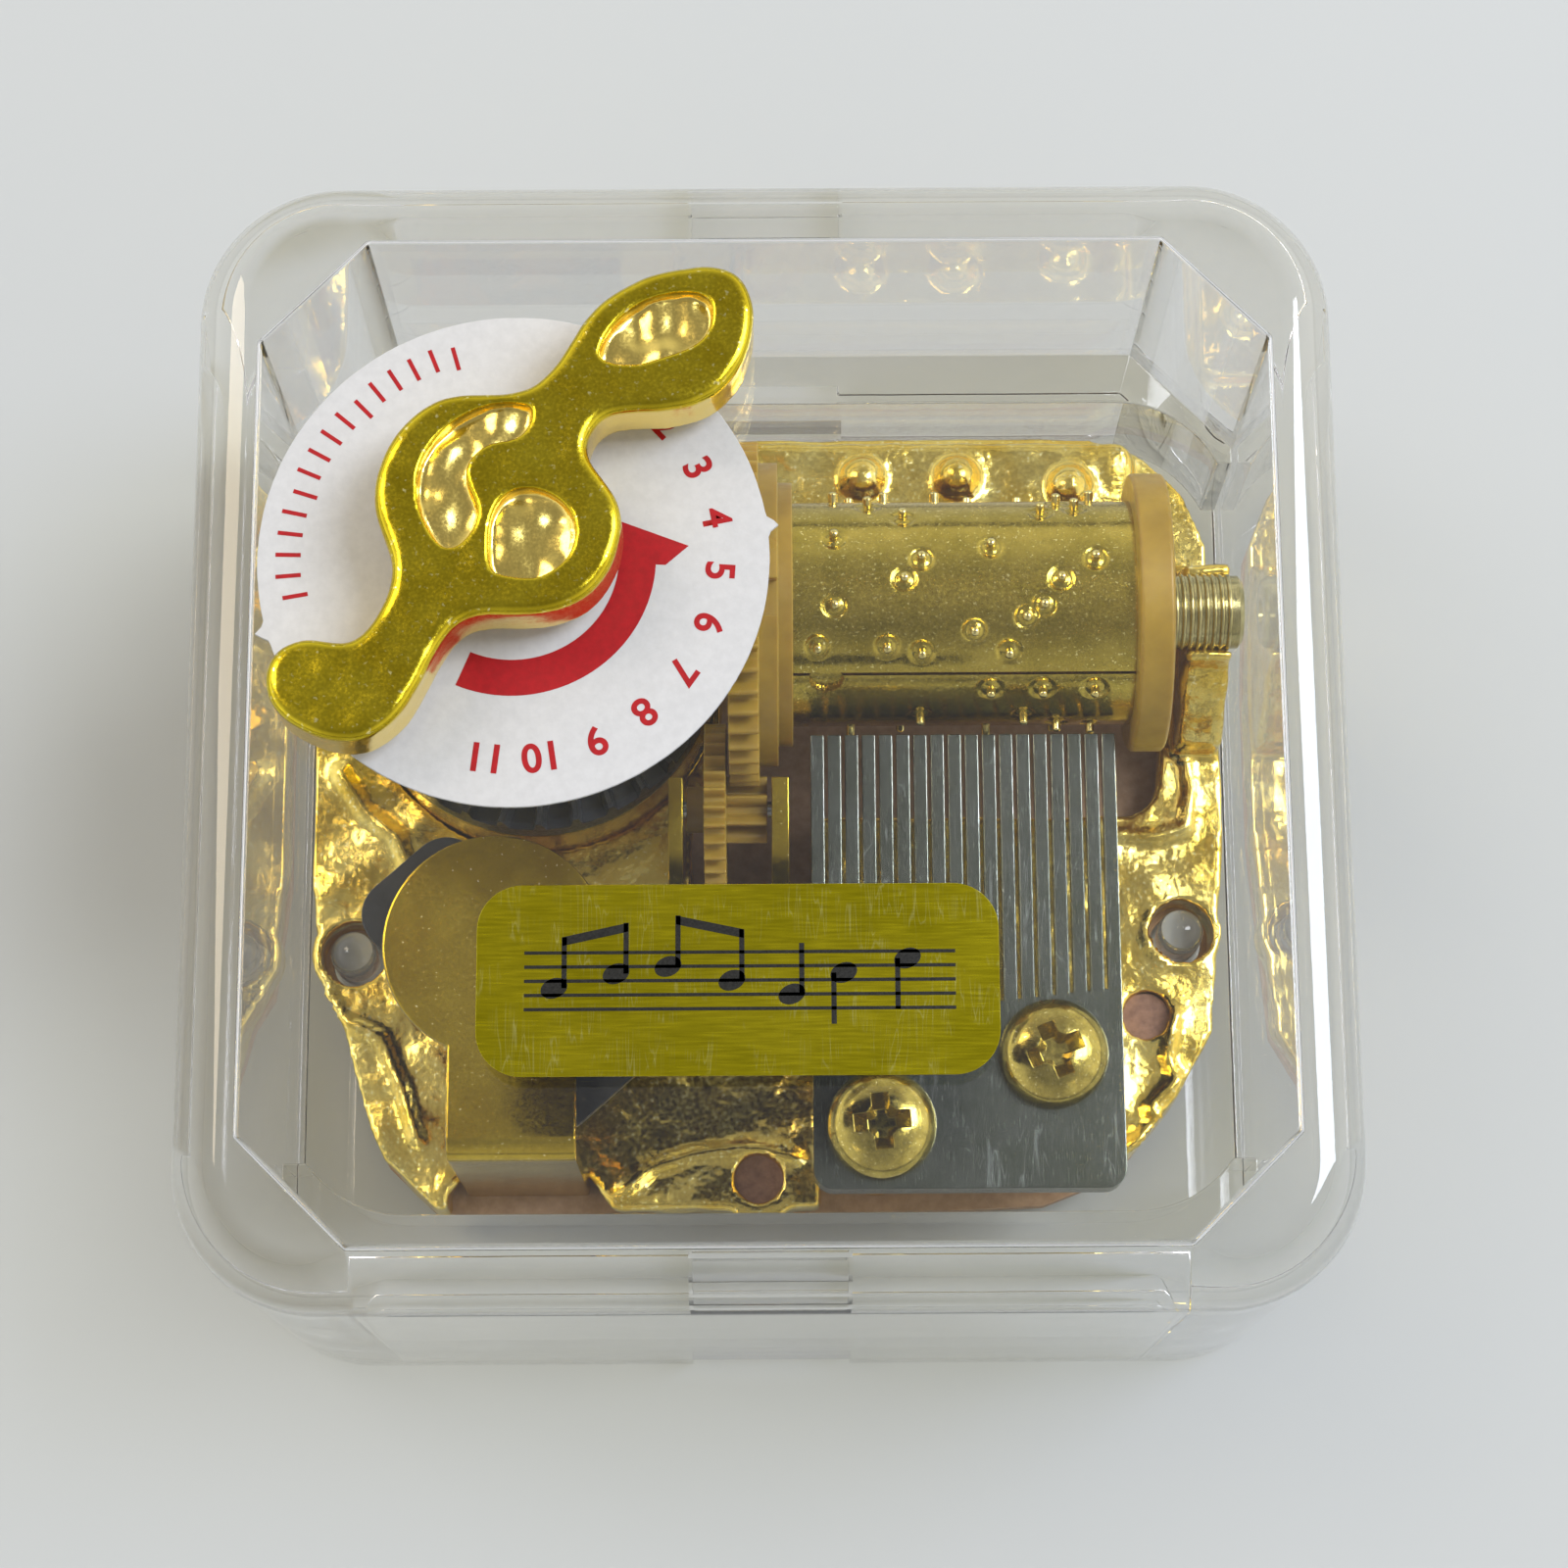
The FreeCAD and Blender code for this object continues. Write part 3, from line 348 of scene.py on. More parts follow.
def bar(x, y, width, depth, z0, z1):  # a flat bar about its centre
    a, b = width / 2, depth / 2
    return slab([(x - a, y - b), (x + a, y - b), (x + a, y + b), (x - a, y + b)], z0, z1)


def joined(shells):  # several meshes or bmeshes as one bmesh
    whole = bmesh.new()
    for shell in shells:
        whole.from_mesh(toMesh("part", shell) if isinstance(shell, bmesh.types.BMesh) else shell)
    return whole


# Injection-moulded clear polystyrene: colourless and glossy, with faint flow waves. Its shades
# are what one face takes from the light that falls through it.
plastic = {"ior": 1.57, "flowWave": 5.0, "flowDepth": 0.0025, "tint": "#FFFFFF",
           "wallShade": "#F1F0EA", "lidShade": "#FEFEFE"}


def clearPolystyrene():
    material, tree, shader, out, mmPlace = startMaterial(
        "clearPolystyrene", {"Transmission Weight": 1.0, "IOR": plastic["ior"], "Roughness": 0.0,
                             "Base Color": colour(plastic["tint"])})
    wave = addNode(tree, "ShaderNodeTexNoise", {"Scale": 1 / plastic["flowWave"], "Detail": 2},
                   {"Vector": mmPlace})
    bump = addNode(tree, "ShaderNodeBump", {"Strength": 1.0, "Distance": plastic["flowDepth"] * mm},
                   {"Height": wave.outputs[0]})
    tree.links.new(bump.outputs[0], shader.inputs["Normal"])
    path = addNode(tree, "ShaderNodeLightPath")
    surface = addNode(tree, "ShaderNodeNewGeometry")
    facing = addNode(tree, "ShaderNodeSeparateXYZ", None, {0: surface.outputs["Normal"]})
    upright = addNode(tree, "ShaderNodeMath", {"operation": "ABSOLUTE"}, {0: facing.outputs[2]})
    level = addNode(tree, "ShaderNodeMapRange", {1: 0.3, 2: 0.8}, {0: upright.outputs[0]})
    shade = addNode(tree, "ShaderNodeMix", {"data_type": "RGBA", 6: colour(plastic["wallShade"]),
                                            7: colour(plastic["lidShade"])}, {0: level.outputs[0]})
    clear = addNode(tree, "ShaderNodeBsdfTransparent", None, {"Color": shade.outputs[2]})
    lampMix = addNode(tree, "ShaderNodeMixShader", None,
                      {0: path.outputs["Is Shadow Ray"], 1: shader.outputs[0], 2: clear.outputs[0]})
    roomMix = addNode(tree, "ShaderNodeMixShader", None,
                      {0: path.outputs["Is Diffuse Ray"], 1: lampMix.outputs[0], 2: clear.outputs[0]})
    tree.links.new(roomMix.outputs[0], out.inputs["Surface"])
    return material


metalBase = {"Metallic": 1.0}
# In mm. patch: size of a tone, with its two colours. rough: least and most. grain, brush: (size, depth,
# stretch). paintedGlint: painted highlight specks, (colour, size, from, full). scratch: (colour, size,
# width, share, depth) at each of scratchTurns. below: (colour, height where it starts, height where it is
# full).
finishLooks = {
    # Gold-plated zinc die casting: bright yellow metal over a rough cast skin, with painted glint specks
    "goldCasting": {"shader": metalBase, "patch": 3.0, "colours": ("#FBE583", "#EBC84C"),
                    "rough": (0.1, 0.24), "paintedGlint": ("#FFF3B0", 0.25, 0.62, 0.7),
                    "grain": [(3.2, 0.3), (0.9, 0.035), (0.25, 0.006)]},
    # Gold-plated rolled sheet: satin with tiny painted highlight specks
    "goldSheet": {"shader": metalBase, "patch": 4.0, "colours": ("#D0B63C", "#BA9E2E"), "rough": (0.12, 0.22),
                  "paintedGlint": ("#FFF6D0", 0.2, 0.7, 0.73), "grain": [(3.0, 0.04), (0.2, 0.0012)]},
    # Drawn brass tube, lightly tumbled: olive yellow with a fine grain and painted glint specks
    "cylinderBrass": {"shader": metalBase, "patch": 2.2, "colours": ("#CDB650", "#B5A03C"),
                      "rough": (0.09, 0.24),
                      "paintedGlint": ("#F6E9A6", 0.16, 0.64, 0.7), "grain": [(0.7, 0.014), (0.2, 0.006)]},
    # Cut brass wire ends: brighter than the tube they stand in
    "pinBrass": {"shader": metalBase, "patch": 0.6, "colours": ("#F2E39A", "#DCC978"), "rough": (0.1, 0.2),
                 "grain": [(0.2, 0.004)]},
    # Brass-plated screw: dull yellow with grease-like mottling and painted glint specks
    "screwBrass": {"shader": metalBase, "patch": 0.9, "colours": ("#C4B158", "#A69444"), "rough": (0.1, 0.24),
                   "paintedGlint": ("#F4E9B8", 0.12, 0.66, 0.72), "grain": [(0.9, 0.01), (0.3, 0.002)]},
    # Bright drawn steel: small shafts
    "drawnSteel": {"shader": metalBase, "patch": 2.0, "colours": ("#B9BCBD", "#9A9D9F"), "rough": (0.2, 0.35),
                   "brush": [(0.08, 0.002, (8, 1, 1))]},
    # Blued spring steel: dark blue grey strip
    "springSteel": {"shader": metalBase, "patch": 1.5, "colours": ("#5A6470", "#3E4650"),
                    "rough": (0.25, 0.4), "brush": [(0.1, 0.002, (1, 1, 8))]},
    # Surface-ground hardened steel: cool grey with fine grinding lines across the comb
    "combSteel": {"shader": metalBase, "patch": 3.5, "colours": ("#6E7269", "#626659"), "rough": (0.2, 0.28),
                  "brush": [(0.05, 0.00015, (1, 20, 1))],
                  "scratch": ("#B9C0BA", 0.8, 0.006, 0.45, 0.0004), "scratchTurns": (0.06, -0.1, 1.2)},
    # Turned nickel silver: bright rings
    "bushMetal": {"shader": metalBase, "patch": 1.0, "colours": ("#CFC48C", "#A79C63"), "rough": (0.14, 0.26),
                  "brush": [(0.1, 0.003, (1, 8, 8))]},
    # Injection-moulded acetal: cream yellow, waxy, lets a little light in
    "yellowNylon": {"shader": {"Subsurface Weight": 0.35, "Subsurface Radius": (1.0, 0.62, 0.22),
                               "Subsurface Scale": 0.0012, "IOR": 1.48}, "patch": 2.5,
                    "colours": ("#AE8F30", "#9C7E28"), "rough": (0.3, 0.44), "grain": [(0.5, 0.006)]},
    # Black glass-filled nylon: satin and slightly blue
    "blackNylon": {"shader": {"IOR": 1.5}, "patch": 1.5, "colours": ("#16191C", "#24282B"),
                   "rough": (0.3, 0.5), "grain": [(0.2, 0.006)]},
    # Gold-plated zinc key: olive gold with a fine tumbled grain and painted glint specks
    "keyGold": {"shader": metalBase, "patch": 2.6, "colours": ("#D8C230", "#C4AC22"), "rough": (0.12, 0.26),
                "below": ("#FFE27A", 34.95, 34.75), "paintedGlint": ("#FFF1A0", 0.3, 0.64, 0.74),
                "grain": [(2.2, 0.014), (0.5, 0.004), (0.16, 0.0025)]},
    # Coated white card: matt, with paper fibre
    "whiteCard": {"shader": {"IOR": 1.45}, "patch": 0.5, "colours": ("#CDCECF", "#C6C7C8"),
                  "rough": (0.5, 0.65), "grain": [(0.12, 0.004)]},
    # Crimson screen ink on card
    "crimsonInk": {"shader": {"IOR": 1.4}, "patch": 0.4, "colours": ("#B00514", "#A00410"),
                   "rough": (0.45, 0.6), "grain": [(0.15, 0.003)]},
    # Brushed gold foil laminate: olive yellow, with handling scratches in every direction
    "labelFoil": {"shader": metalBase, "patch": 6.0, "colours": ("#C9BB22", "#B5A916"), "rough": (0.2, 0.28),
                  "brush": [(0.12, 0.0001, (16, 1, 1))],
                  "scratch": ("#EDE88C", 0.75, 0.007, 0.4, 0.0004),
                  "scratchTurns": (0.5, 1.15, -0.7, 2.2, 0.05)},
    # Black screen ink on foil
    "blackInk": {"shader": {"IOR": 1.48}, "patch": 0.4, "colours": ("#0C0C0A", "#15150F"),
                 "rough": (0.3, 0.45), "grain": [(0.1, 0.002)]},
    # Pressed fibre board: pinkish brown, matt
    "padBoard": {"shader": {"IOR": 1.4}, "patch": 0.8, "colours": ("#B89A80", "#A4866C"),
                 "rough": (0.6, 0.75), "grain": [(0.15, 0.01)]},
    # Thread wax on the screw ends: pinkish brown, dull
    "waxedSteel": {"shader": {"IOR": 1.45, "Metallic": 0.2}, "patch": 0.6, "colours": ("#9A7560", "#7E5D4C"),
                   "rough": (0.45, 0.6), "grain": [(0.2, 0.006)]},
}
finishes = {name: finish(name, spec) for name, spec in finishLooks.items()}
finishes["clearPolystyrene"] = clearPolystyrene()
print("finishes made:", len(finishes))

coverTop = reach("case_cover")[1]
case = {"half": coverTop[0], "height": coverTop[2], "corner": 7.5, "edge": 3.0, "wall": 3.15, "lid": 2.5,
        "foot": ((0.25, 0.0), (0.07, 0.07), (0.0, 0.25)), "chamfer": 5.7, "cavityCorner": 0.45,
        "ceilingEdge": 0.35, "ceilingSteps": 5, "hole": 3.05, "holePlace": (-13.0, 8.5), "tabHalf": 4.45,
        "tabTop": 2.8, "cornerSteps": 24, "edgeSteps": 12, "trayEdge": 0.2}


def octagonCorners(half, chamfer):
    flat = half - chamfer
    return [(half, -flat), (half, flat), (flat, half), (-flat, half),
            (-half, flat), (-half, -flat), (-flat, -half), (flat, -half)]


def roundedEdge(top, radius, steps):  # (inset, height) pairs up a rounded edge to its top
    angles = [math.pi / 2 * step / steps for step in range(steps + 1)]
    return [(radius * (1 - math.cos(angle)), top - radius + radius * math.sin(angle)) for angle in angles]


def buildCover():
    c = case
    skin = list(c["foot"]) + roundedEdge(c["height"], c["edge"], c["edgeSteps"])
    outer = toObject("coverOuter", loft([
        roundedLoop(c["half"] - inset, c["half"] - inset, c["corner"] - inset, c["cornerSteps"], z)
        for inset, z in skin]))
    loops = []
    for inset, z in [(0.0, -1.0)] + roundedEdge(c["height"] - c["lid"], c["ceilingEdge"], c["ceilingSteps"]):
        chamfer = c["chamfer"] - inset * (2 - math.sqrt(2))
        corners = octagonCorners(c["half"] - c["wall"] - inset, chamfer)
        loops.append(roundedCorners(corners, c["cavityCorner"], 5, z))
    cavity = toObject("coverCavity", loft(loops))
    hole = toObject("coverHole", lathe([(0, 20), (c["hole"], 20), (c["hole"], 40), (0, 40)], 64))
    hole.data.transform(Matrix.Translation((*c["holePlace"], 0)))
    h = c["tabHalf"]
    notch = toObject("coverNotch", loft([[(-h, -40, z), (h, -40, z), (h, 40, z), (-h, 40, z)]
                                         for z in (-1, c["tabTop"])]))
    settle("clearCover", cut(outer, [cavity, hole, notch]), finishes["clearPolystyrene"], "case",
           ["case_cover"], 30)


buildCover()
tray = toObject("trayRaw", flattened(cleanCopy("case_tray")))
trayMesh = evaluated(tray, [("BEVEL", {"width": case["trayEdge"], "segments": 2, "limit_method": "ANGLE",
                                       "angle_limit": 0.7})])
discard(tray)
settle("clearTray", trayMesh, finishes["clearPolystyrene"], "case", ["case_tray"], 30)
print("case built")

edged = {
    # node: (finish, bevel mm, segments)
    "spring_cup": ("goldSheet", 0.08, 2), "motor_bridge": ("goldSheet", 0.15, 2),
    "governor_cover": ("goldSheet", 0.18, 2), "governor_bracket": ("goldSheet", 0.12, 2),
    "gear_bracket": ("goldSheet", 0.16, 2), "comb": ("combSteel", 0.07, 2),
    "cylinder_gear": ("yellowNylon", 0.05, 1), "cylinder_cap": ("yellowNylon", 0.06, 2),
    "second_wheel": ("yellowNylon", 0.04, 1), "third_pinion": ("yellowNylon", 0.03, 1),
    "worm_wheel": ("yellowNylon", 0.03, 1), "drive_gear": ("blackNylon", 0.06, 1),
    "governor_fan": ("blackNylon", 0.08, 2),
}


def pieceName(node):
    words = node.split("_")
    return words[0] + "".join(word.title() for word in words[1:]) + "Piece"


bodyOf = {node: nodes[node]["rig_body"] for node in nodes}
for node, (finishName, width, segments) in edged.items():
    raw = toObject(node + "Raw", flattened(cleanCopy(node)))
    mesh = evaluated(raw, [("BEVEL", {"width": width, "segments": segments, "limit_method": "ANGLE",
                                      "angle_limit": 0.6, "harden_normals": False})])
    discard(raw)
    settle(pieceName(node), mesh, finishes[finishName], bodyOf[node], [node], 35)
    print("edged", node, len(mesh.polygons))

barrelLow, barrelHigh, barrelMiddle = reach("cylinder_barrel")
cylinder = {"axisY": barrelMiddle[1], "axisZ": barrelMiddle[2], "radius": 6.2, "left": barrelLow[0],
            "right": barrelHigh[0], "pinTip": barrelHigh[1] - barrelMiddle[1], "pinRadius": 0.25,
            "pinRoot": 0.2, "pinCrown": 0.6, "dimple": 0.52, "dimpleWidth": 0.16, "dimpleDepth": 0.1,
            "seam": -48.0, "seamHalf": 0.09, "seamDepth": 0.35, "notchX": 3.2, "notchRadius": 0.9,
            "around": 430, "along": 215, "combLeft": reach("comb")[0][0], "tinePitch": 16.95 / 18,
            "tineGap": 0.2}
tune = (  # degrees back from the top, then the tines plucked there
    (-95, (16,)), (-90, (14,)), (-80, (6, 12)), (-58, (10, 13, 16)), (-36, (6, 11)), (-33, (0, 4)),
    (-25, (9,)), (-18, (12,)), (-12, (1, 13)), (1, (5, 14)), (12, (6, 16)), (19, (10,)),
    (25, (1,)), (41, (5,)), (46, (13,)), (51, (15,)), (55, (3,)), (59, (14,)), (68, (1, 16)),
    (78, (4, 7)), (90, (2, 9, 12)), (101, (8, 17)), (112, (5, 11)), (124, (0, 13)), (135, (7, 15)),
    (146, (3, 10)), (158, (6, 14, 17)), (169, (2, 12)), (181, (8, 16)), (193, (4, 11)),
    (204, (0, 9, 15)), (216, (7, 13)), (228, (3, 17)), (239, (5, 14)), (250, (2, 10)),
)


def buildBarrel():
    c = cylinder
    angles = np.linspace(0, 2 * math.pi, c["around"], endpoint=False)
    seam = math.radians(c["seam"]) % (2 * math.pi)
    halfAngle = c["seamHalf"] / c["radius"]
    extra = seam + np.array([-1.4, -1.0, -0.7, 0.7, 1.0, 1.4]) * halfAngle  # crisp edges for the seam
    away = np.abs((angles - seam + math.pi) % (2 * math.pi) - math.pi)
    angles = np.sort(np.concatenate([angles[away > 1.7 * halfAngle], extra % (2 * math.pi)]))
    xs = np.linspace(c["left"], c["right"], c["along"])
    grid, turn = np.meshgrid(xs, angles, indexing="ij")
    radius = np.full(grid.shape, c["radius"])
    feet, leans = [], []
    for degrees, tines in tune:
        angle = math.radians(degrees)
        for tine in tines:
            x = c["combLeft"] + c["tinePitch"] * (tine + 0.5) - c["tineGap"] / 2
            lean = (0.0, math.sin(angle), math.cos(angle))
            root = c["radius"] - c["pinRoot"]
            feet.append((x, c["axisY"] + lean[1] * root, c["axisZ"] + lean[2] * root))
            leans.append(lean)
            arc = ((turn - angle + math.pi) % (2 * math.pi) - math.pi) * c["radius"]
            fromPin = np.sqrt((grid - x) ** 2 + arc ** 2)
            radius -= c["dimpleDepth"] * np.exp(-((fromPin - c["dimple"]) / c["dimpleWidth"]) ** 2)
    arc = ((turn - seam + math.pi) % (2 * math.pi) - math.pi) * c["radius"]
    inSeam = np.abs(arc) < c["seamHalf"] * 0.85
    inNotch = (np.hypot(grid - c["notchX"], arc + 0.25) < c["notchRadius"]) & (arc < 0.1)
    radius[inSeam | inNotch] -= c["seamDepth"]
    loops = []
    for i in range(len(xs)):
        loops.append([(grid[i, j], c["axisY"] + radius[i, j] * math.sin(turn[i, j]),
                       c["axisZ"] + radius[i, j] * math.cos(turn[i, j])) for j in range(len(angles))])
    tubeMesh = toMesh("tube", loft(loops))
    sizes = {"Pin radius": c["pinRadius"],
             "Pin height": c["pinTip"] - c["radius"] + c["pinRoot"] - c["pinRadius"] * c["pinCrown"]}
    tree, source, keys = startGrowth("tunePins", sizes)
    stem = addNode(tree, "GeometryNodeMeshCylinder", {"Vertices": 14},
                   {"Radius": source.outputs["Pin radius"], "Depth": source.outputs["Pin height"]})
    half = addNode(tree, "ShaderNodeMath", {"operation": "MULTIPLY", 1: 0.5},
                   {0: source.outputs["Pin height"]})
    lift = addNode(tree, "ShaderNodeCombineXYZ", None, {2: half.outputs[0]})
    raised = addNode(tree, "GeometryNodeTransform", None,
                     {"Geometry": stem.outputs[0], "Translation": lift.outputs[0]})
    ball = addNode(tree, "GeometryNodeMeshUVSphere", {"Segments": 14, "Rings": 8},
                   {"Radius": source.outputs["Pin radius"]})
    top = addNode(tree, "ShaderNodeCombineXYZ", None, {2: source.outputs["Pin height"]})
    head = addNode(tree, "GeometryNodeTransform", {"Scale": (1, 1, c["pinCrown"])},
                   {"Geometry": ball.outputs[0], "Translation": top.outputs[0]})
    pin = addNode(tree, "GeometryNodeJoinGeometry")
    for part in (head, raised):
        tree.links.new(part.outputs[0], pin.inputs[0])
    lean = addNode(tree, "GeometryNodeInputNamedAttribute", {"data_type": "FLOAT_VECTOR", "Name": "lean"})
    align = addNode(tree, "FunctionNodeAlignRotationToVector", {"axis": "Z"}, {"Vector": lean.outputs[0]})
    spread = addNode(tree, "GeometryNodeInstanceOnPoints", None,
                     {"Points": source.outputs[0], "Instance": pin.outputs[0], "Rotation": align.outputs[0]})
    endGrowth(tree, spread.outputs[0], finishes["pinBrass"])
    pinMesh = grow("tunePins", pointMesh("pinFeet", feet, leans), tree, keys, sizes)
    settle("pinnedTube", tubeMesh, finishes["cylinderBrass"], "cylinder", ["cylinder_barrel"],
           50)
    settle("tunePins", pinMesh, finishes["pinBrass"], "cylinder", [], 50)
    print("cylinder built with", len(feet), "pins")


buildBarrel()


bushLow, bushHigh = reach("pivot_bush")[:2]
bush = {"left": bushLow[0], "end": bushHigh[0], "radius": 2.15, "ribPitch": 0.42, "ribThickness": 0.15,
        "core": 0.12, "rim": 0.4, "mouth": 0.75, "mouthFloor": 0.6, "mouthDepth": 0.3}


def buildBush():
    b = bush
    side, floor = b["radius"] - b["core"], b["end"] - b["mouthDepth"]
    core = lathe([(0, b["left"]), (side - 0.1, b["left"]), (side, b["left"] + 0.1), (side, b["end"] - 0.25),
                  (b["radius"] - b["rim"], b["end"]), (b["mouth"], b["end"]), (b["mouthFloor"], floor),
                  (0, floor)], 64)
    count = int((b["end"] - b["left"] - 0.4) / b["ribPitch"])
    sizes = {"Rib count": count, "Rib pitch": b["ribPitch"], "Ring radius": b["radius"] - b["ribThickness"],
             "Rib thickness": b["ribThickness"]}
    tree, source, keys = startGrowth("bushRibs", sizes)
    step = addNode(tree, "ShaderNodeCombineXYZ", None, {2: source.outputs["Rib pitch"]})
    line = addNode(tree, "GeometryNodeMeshLine", None,
                   {"Count": source.outputs["Rib count"], "Offset": step.outputs[0]})
    ring = addNode(tree, "GeometryNodeCurvePrimitiveCircle", {"Resolution": 64},
                   {"Radius": source.outputs["Ring radius"]})
    section = addNode(tree, "GeometryNodeCurvePrimitiveCircle", {"Resolution": 10},
                      {"Radius": source.outputs["Rib thickness"]})
    hoop = addNode(tree, "GeometryNodeCurveToMesh", None, {0: ring.outputs[0], 1: section.outputs[0]})
    spread = addNode(tree, "GeometryNodeInstanceOnPoints", None,
                     {"Points": line.outputs[0], "Instance": hoop.outputs[0]})
    endGrowth(tree, spread.outputs[0], finishes["bushMetal"])
    ribs = grow("bushRibs", pointMesh("ribSeed", [(0, 0, 0)]), tree, keys, sizes)
    ribs.transform(Matrix.Translation((0, 0, b["left"] + 0.25)))
    mesh = toMesh("bush", joined([core, ribs]))
    mesh.transform(Matrix.Rotation(math.pi / 2, 4, "Y"))
    mesh.transform(Matrix.Translation((0, barrelMiddle[1], barrelMiddle[2])))
    settle("ribbedBush", mesh, finishes["bushMetal"], "case", ["pivot_bush"], 40)


buildBush()


combTop = reach("comb")[1][2]
combScrew = {"places": ((15.3, -15.0, combTop), (6.0, -18.8, combTop)), "turns": (22.0, 5.0), "head": 2.95,
             "height": 1.9, "rim": 0.4, "crownSteps": 12, "shank": 1.28, "shankLength": 6.0, "edge": 0.07,
             "recess": ((0.75, 0.28, 0.15, 0.75), (1.25, 0.4, 0.28, 1.3), (1.85, 0.55, 0.35, 2.3))}


def crossOutline(arm, half, fillet):  # one level of the recess: arm length, half its width, inner corner
    quarter = [(arm, -half), (arm, half), (half + fillet, half), (half, half + fillet)]
    points = []
    for turn in range(4):
        c, s = (1, 0, -1, 0)[turn], (0, 1, 0, -1)[turn]
        points += [(x * c - y * s, x * s + y * c) for x, y in quarter]
    return points


def buildCombScrews():
    k = combScrew
    profile = [(0, -k["shankLength"]), (k["shank"], -k["shankLength"]), (k["shank"], 0),
               (k["head"] - 0.12, 0), (k["head"], 0.14), (k["head"], k["rim"])]
    for step in range(1, k["crownSteps"]):
        angle = math.pi / 2 * step / k["crownSteps"]
        profile.append((k["head"] * math.cos(angle) ** 0.72,
                        k["rim"] + (k["height"] - k["rim"]) * math.sin(angle) ** 1.15))
    profile.append((0.0, k["height"]))
    body = toObject("screwBody", lathe(profile, 72))
    recess = toObject("screwRecess", loft([[(x, y, z) for x, y in crossOutline(arm, half, fillet)]
                                           for arm, half, fillet, z in k["recess"]]))
    raw = toObject("screwRaw", cut(body, [recess]))
    mesh = evaluated(raw, [("BEVEL", {"width": k["edge"], "segments": 2, "limit_method": "ANGLE",
                                      "angle_limit": 0.7})])
    discard(raw)
    template = toObject("screwTemplate", mesh)
    sizes = {"Head scale": 1.0}
    tree, source, keys = startGrowth("combScrewSet", sizes)
    one = addNode(tree, "GeometryNodeObjectInfo", {"Object": template})
    turn = addNode(tree, "GeometryNodeInputNamedAttribute", {"data_type": "FLOAT_VECTOR", "Name": "lean"})
    spread = addNode(tree, "GeometryNodeInstanceOnPoints", None,
                     {"Points": source.outputs[0], "Instance": one.outputs["Geometry"],
                      "Rotation": turn.outputs[0], "Scale": source.outputs["Head scale"]})
    endGrowth(tree, spread.outputs[0], finishes["screwBrass"])
    turns = [(0, 0, math.radians(t)) for t in k["turns"]]
    mesh = grow("combScrewSet", pointMesh("screwPlaces", k["places"], turns), tree, keys, sizes)
    discard(template)
    settle("combScrewSet", mesh, finishes["screwBrass"], "case", ["comb_screws"], 45)
    print("comb screws built")


buildCombScrews()


cardLow, cardHigh = reach("winding_disc")[:2]
card = {"middle": case["holePlace"], "radius": 13.2, "hole": 3.3, "low": cardLow[2], "top": cardHigh[2],
        "ink": 0.015, "rimSteps": 300, "tear": 0.03, "nibs": (7.5, 197.0), "nib": 0.62, "bandInner": 5.45,
        "bandOuter": 7.35, "bandStart": -113.0, "bandEnd": 8.0, "bandSteps": 40, "headTip": (9.05, 3.9),
        "headInner": (5.84, 19.6), "headOuter": (7.85, -3.0), "numberRadius": 10.6, "numberSize": 2.1,
        "numberBold": 0.045, "numberStart": 58.0, "numberStep": -15.5, "numbers": 11, "tickRadius": 11.6,
        "tickLength": 1.3, "tickWidth": 0.22, "tickCount": 16, "tickStart": 106.0, "tickStep": 5.6}


def around(radius, degrees):
    angle = math.radians(degrees)
    return card["middle"][0] + radius * math.cos(angle), card["middle"][1] + radius * math.sin(angle)


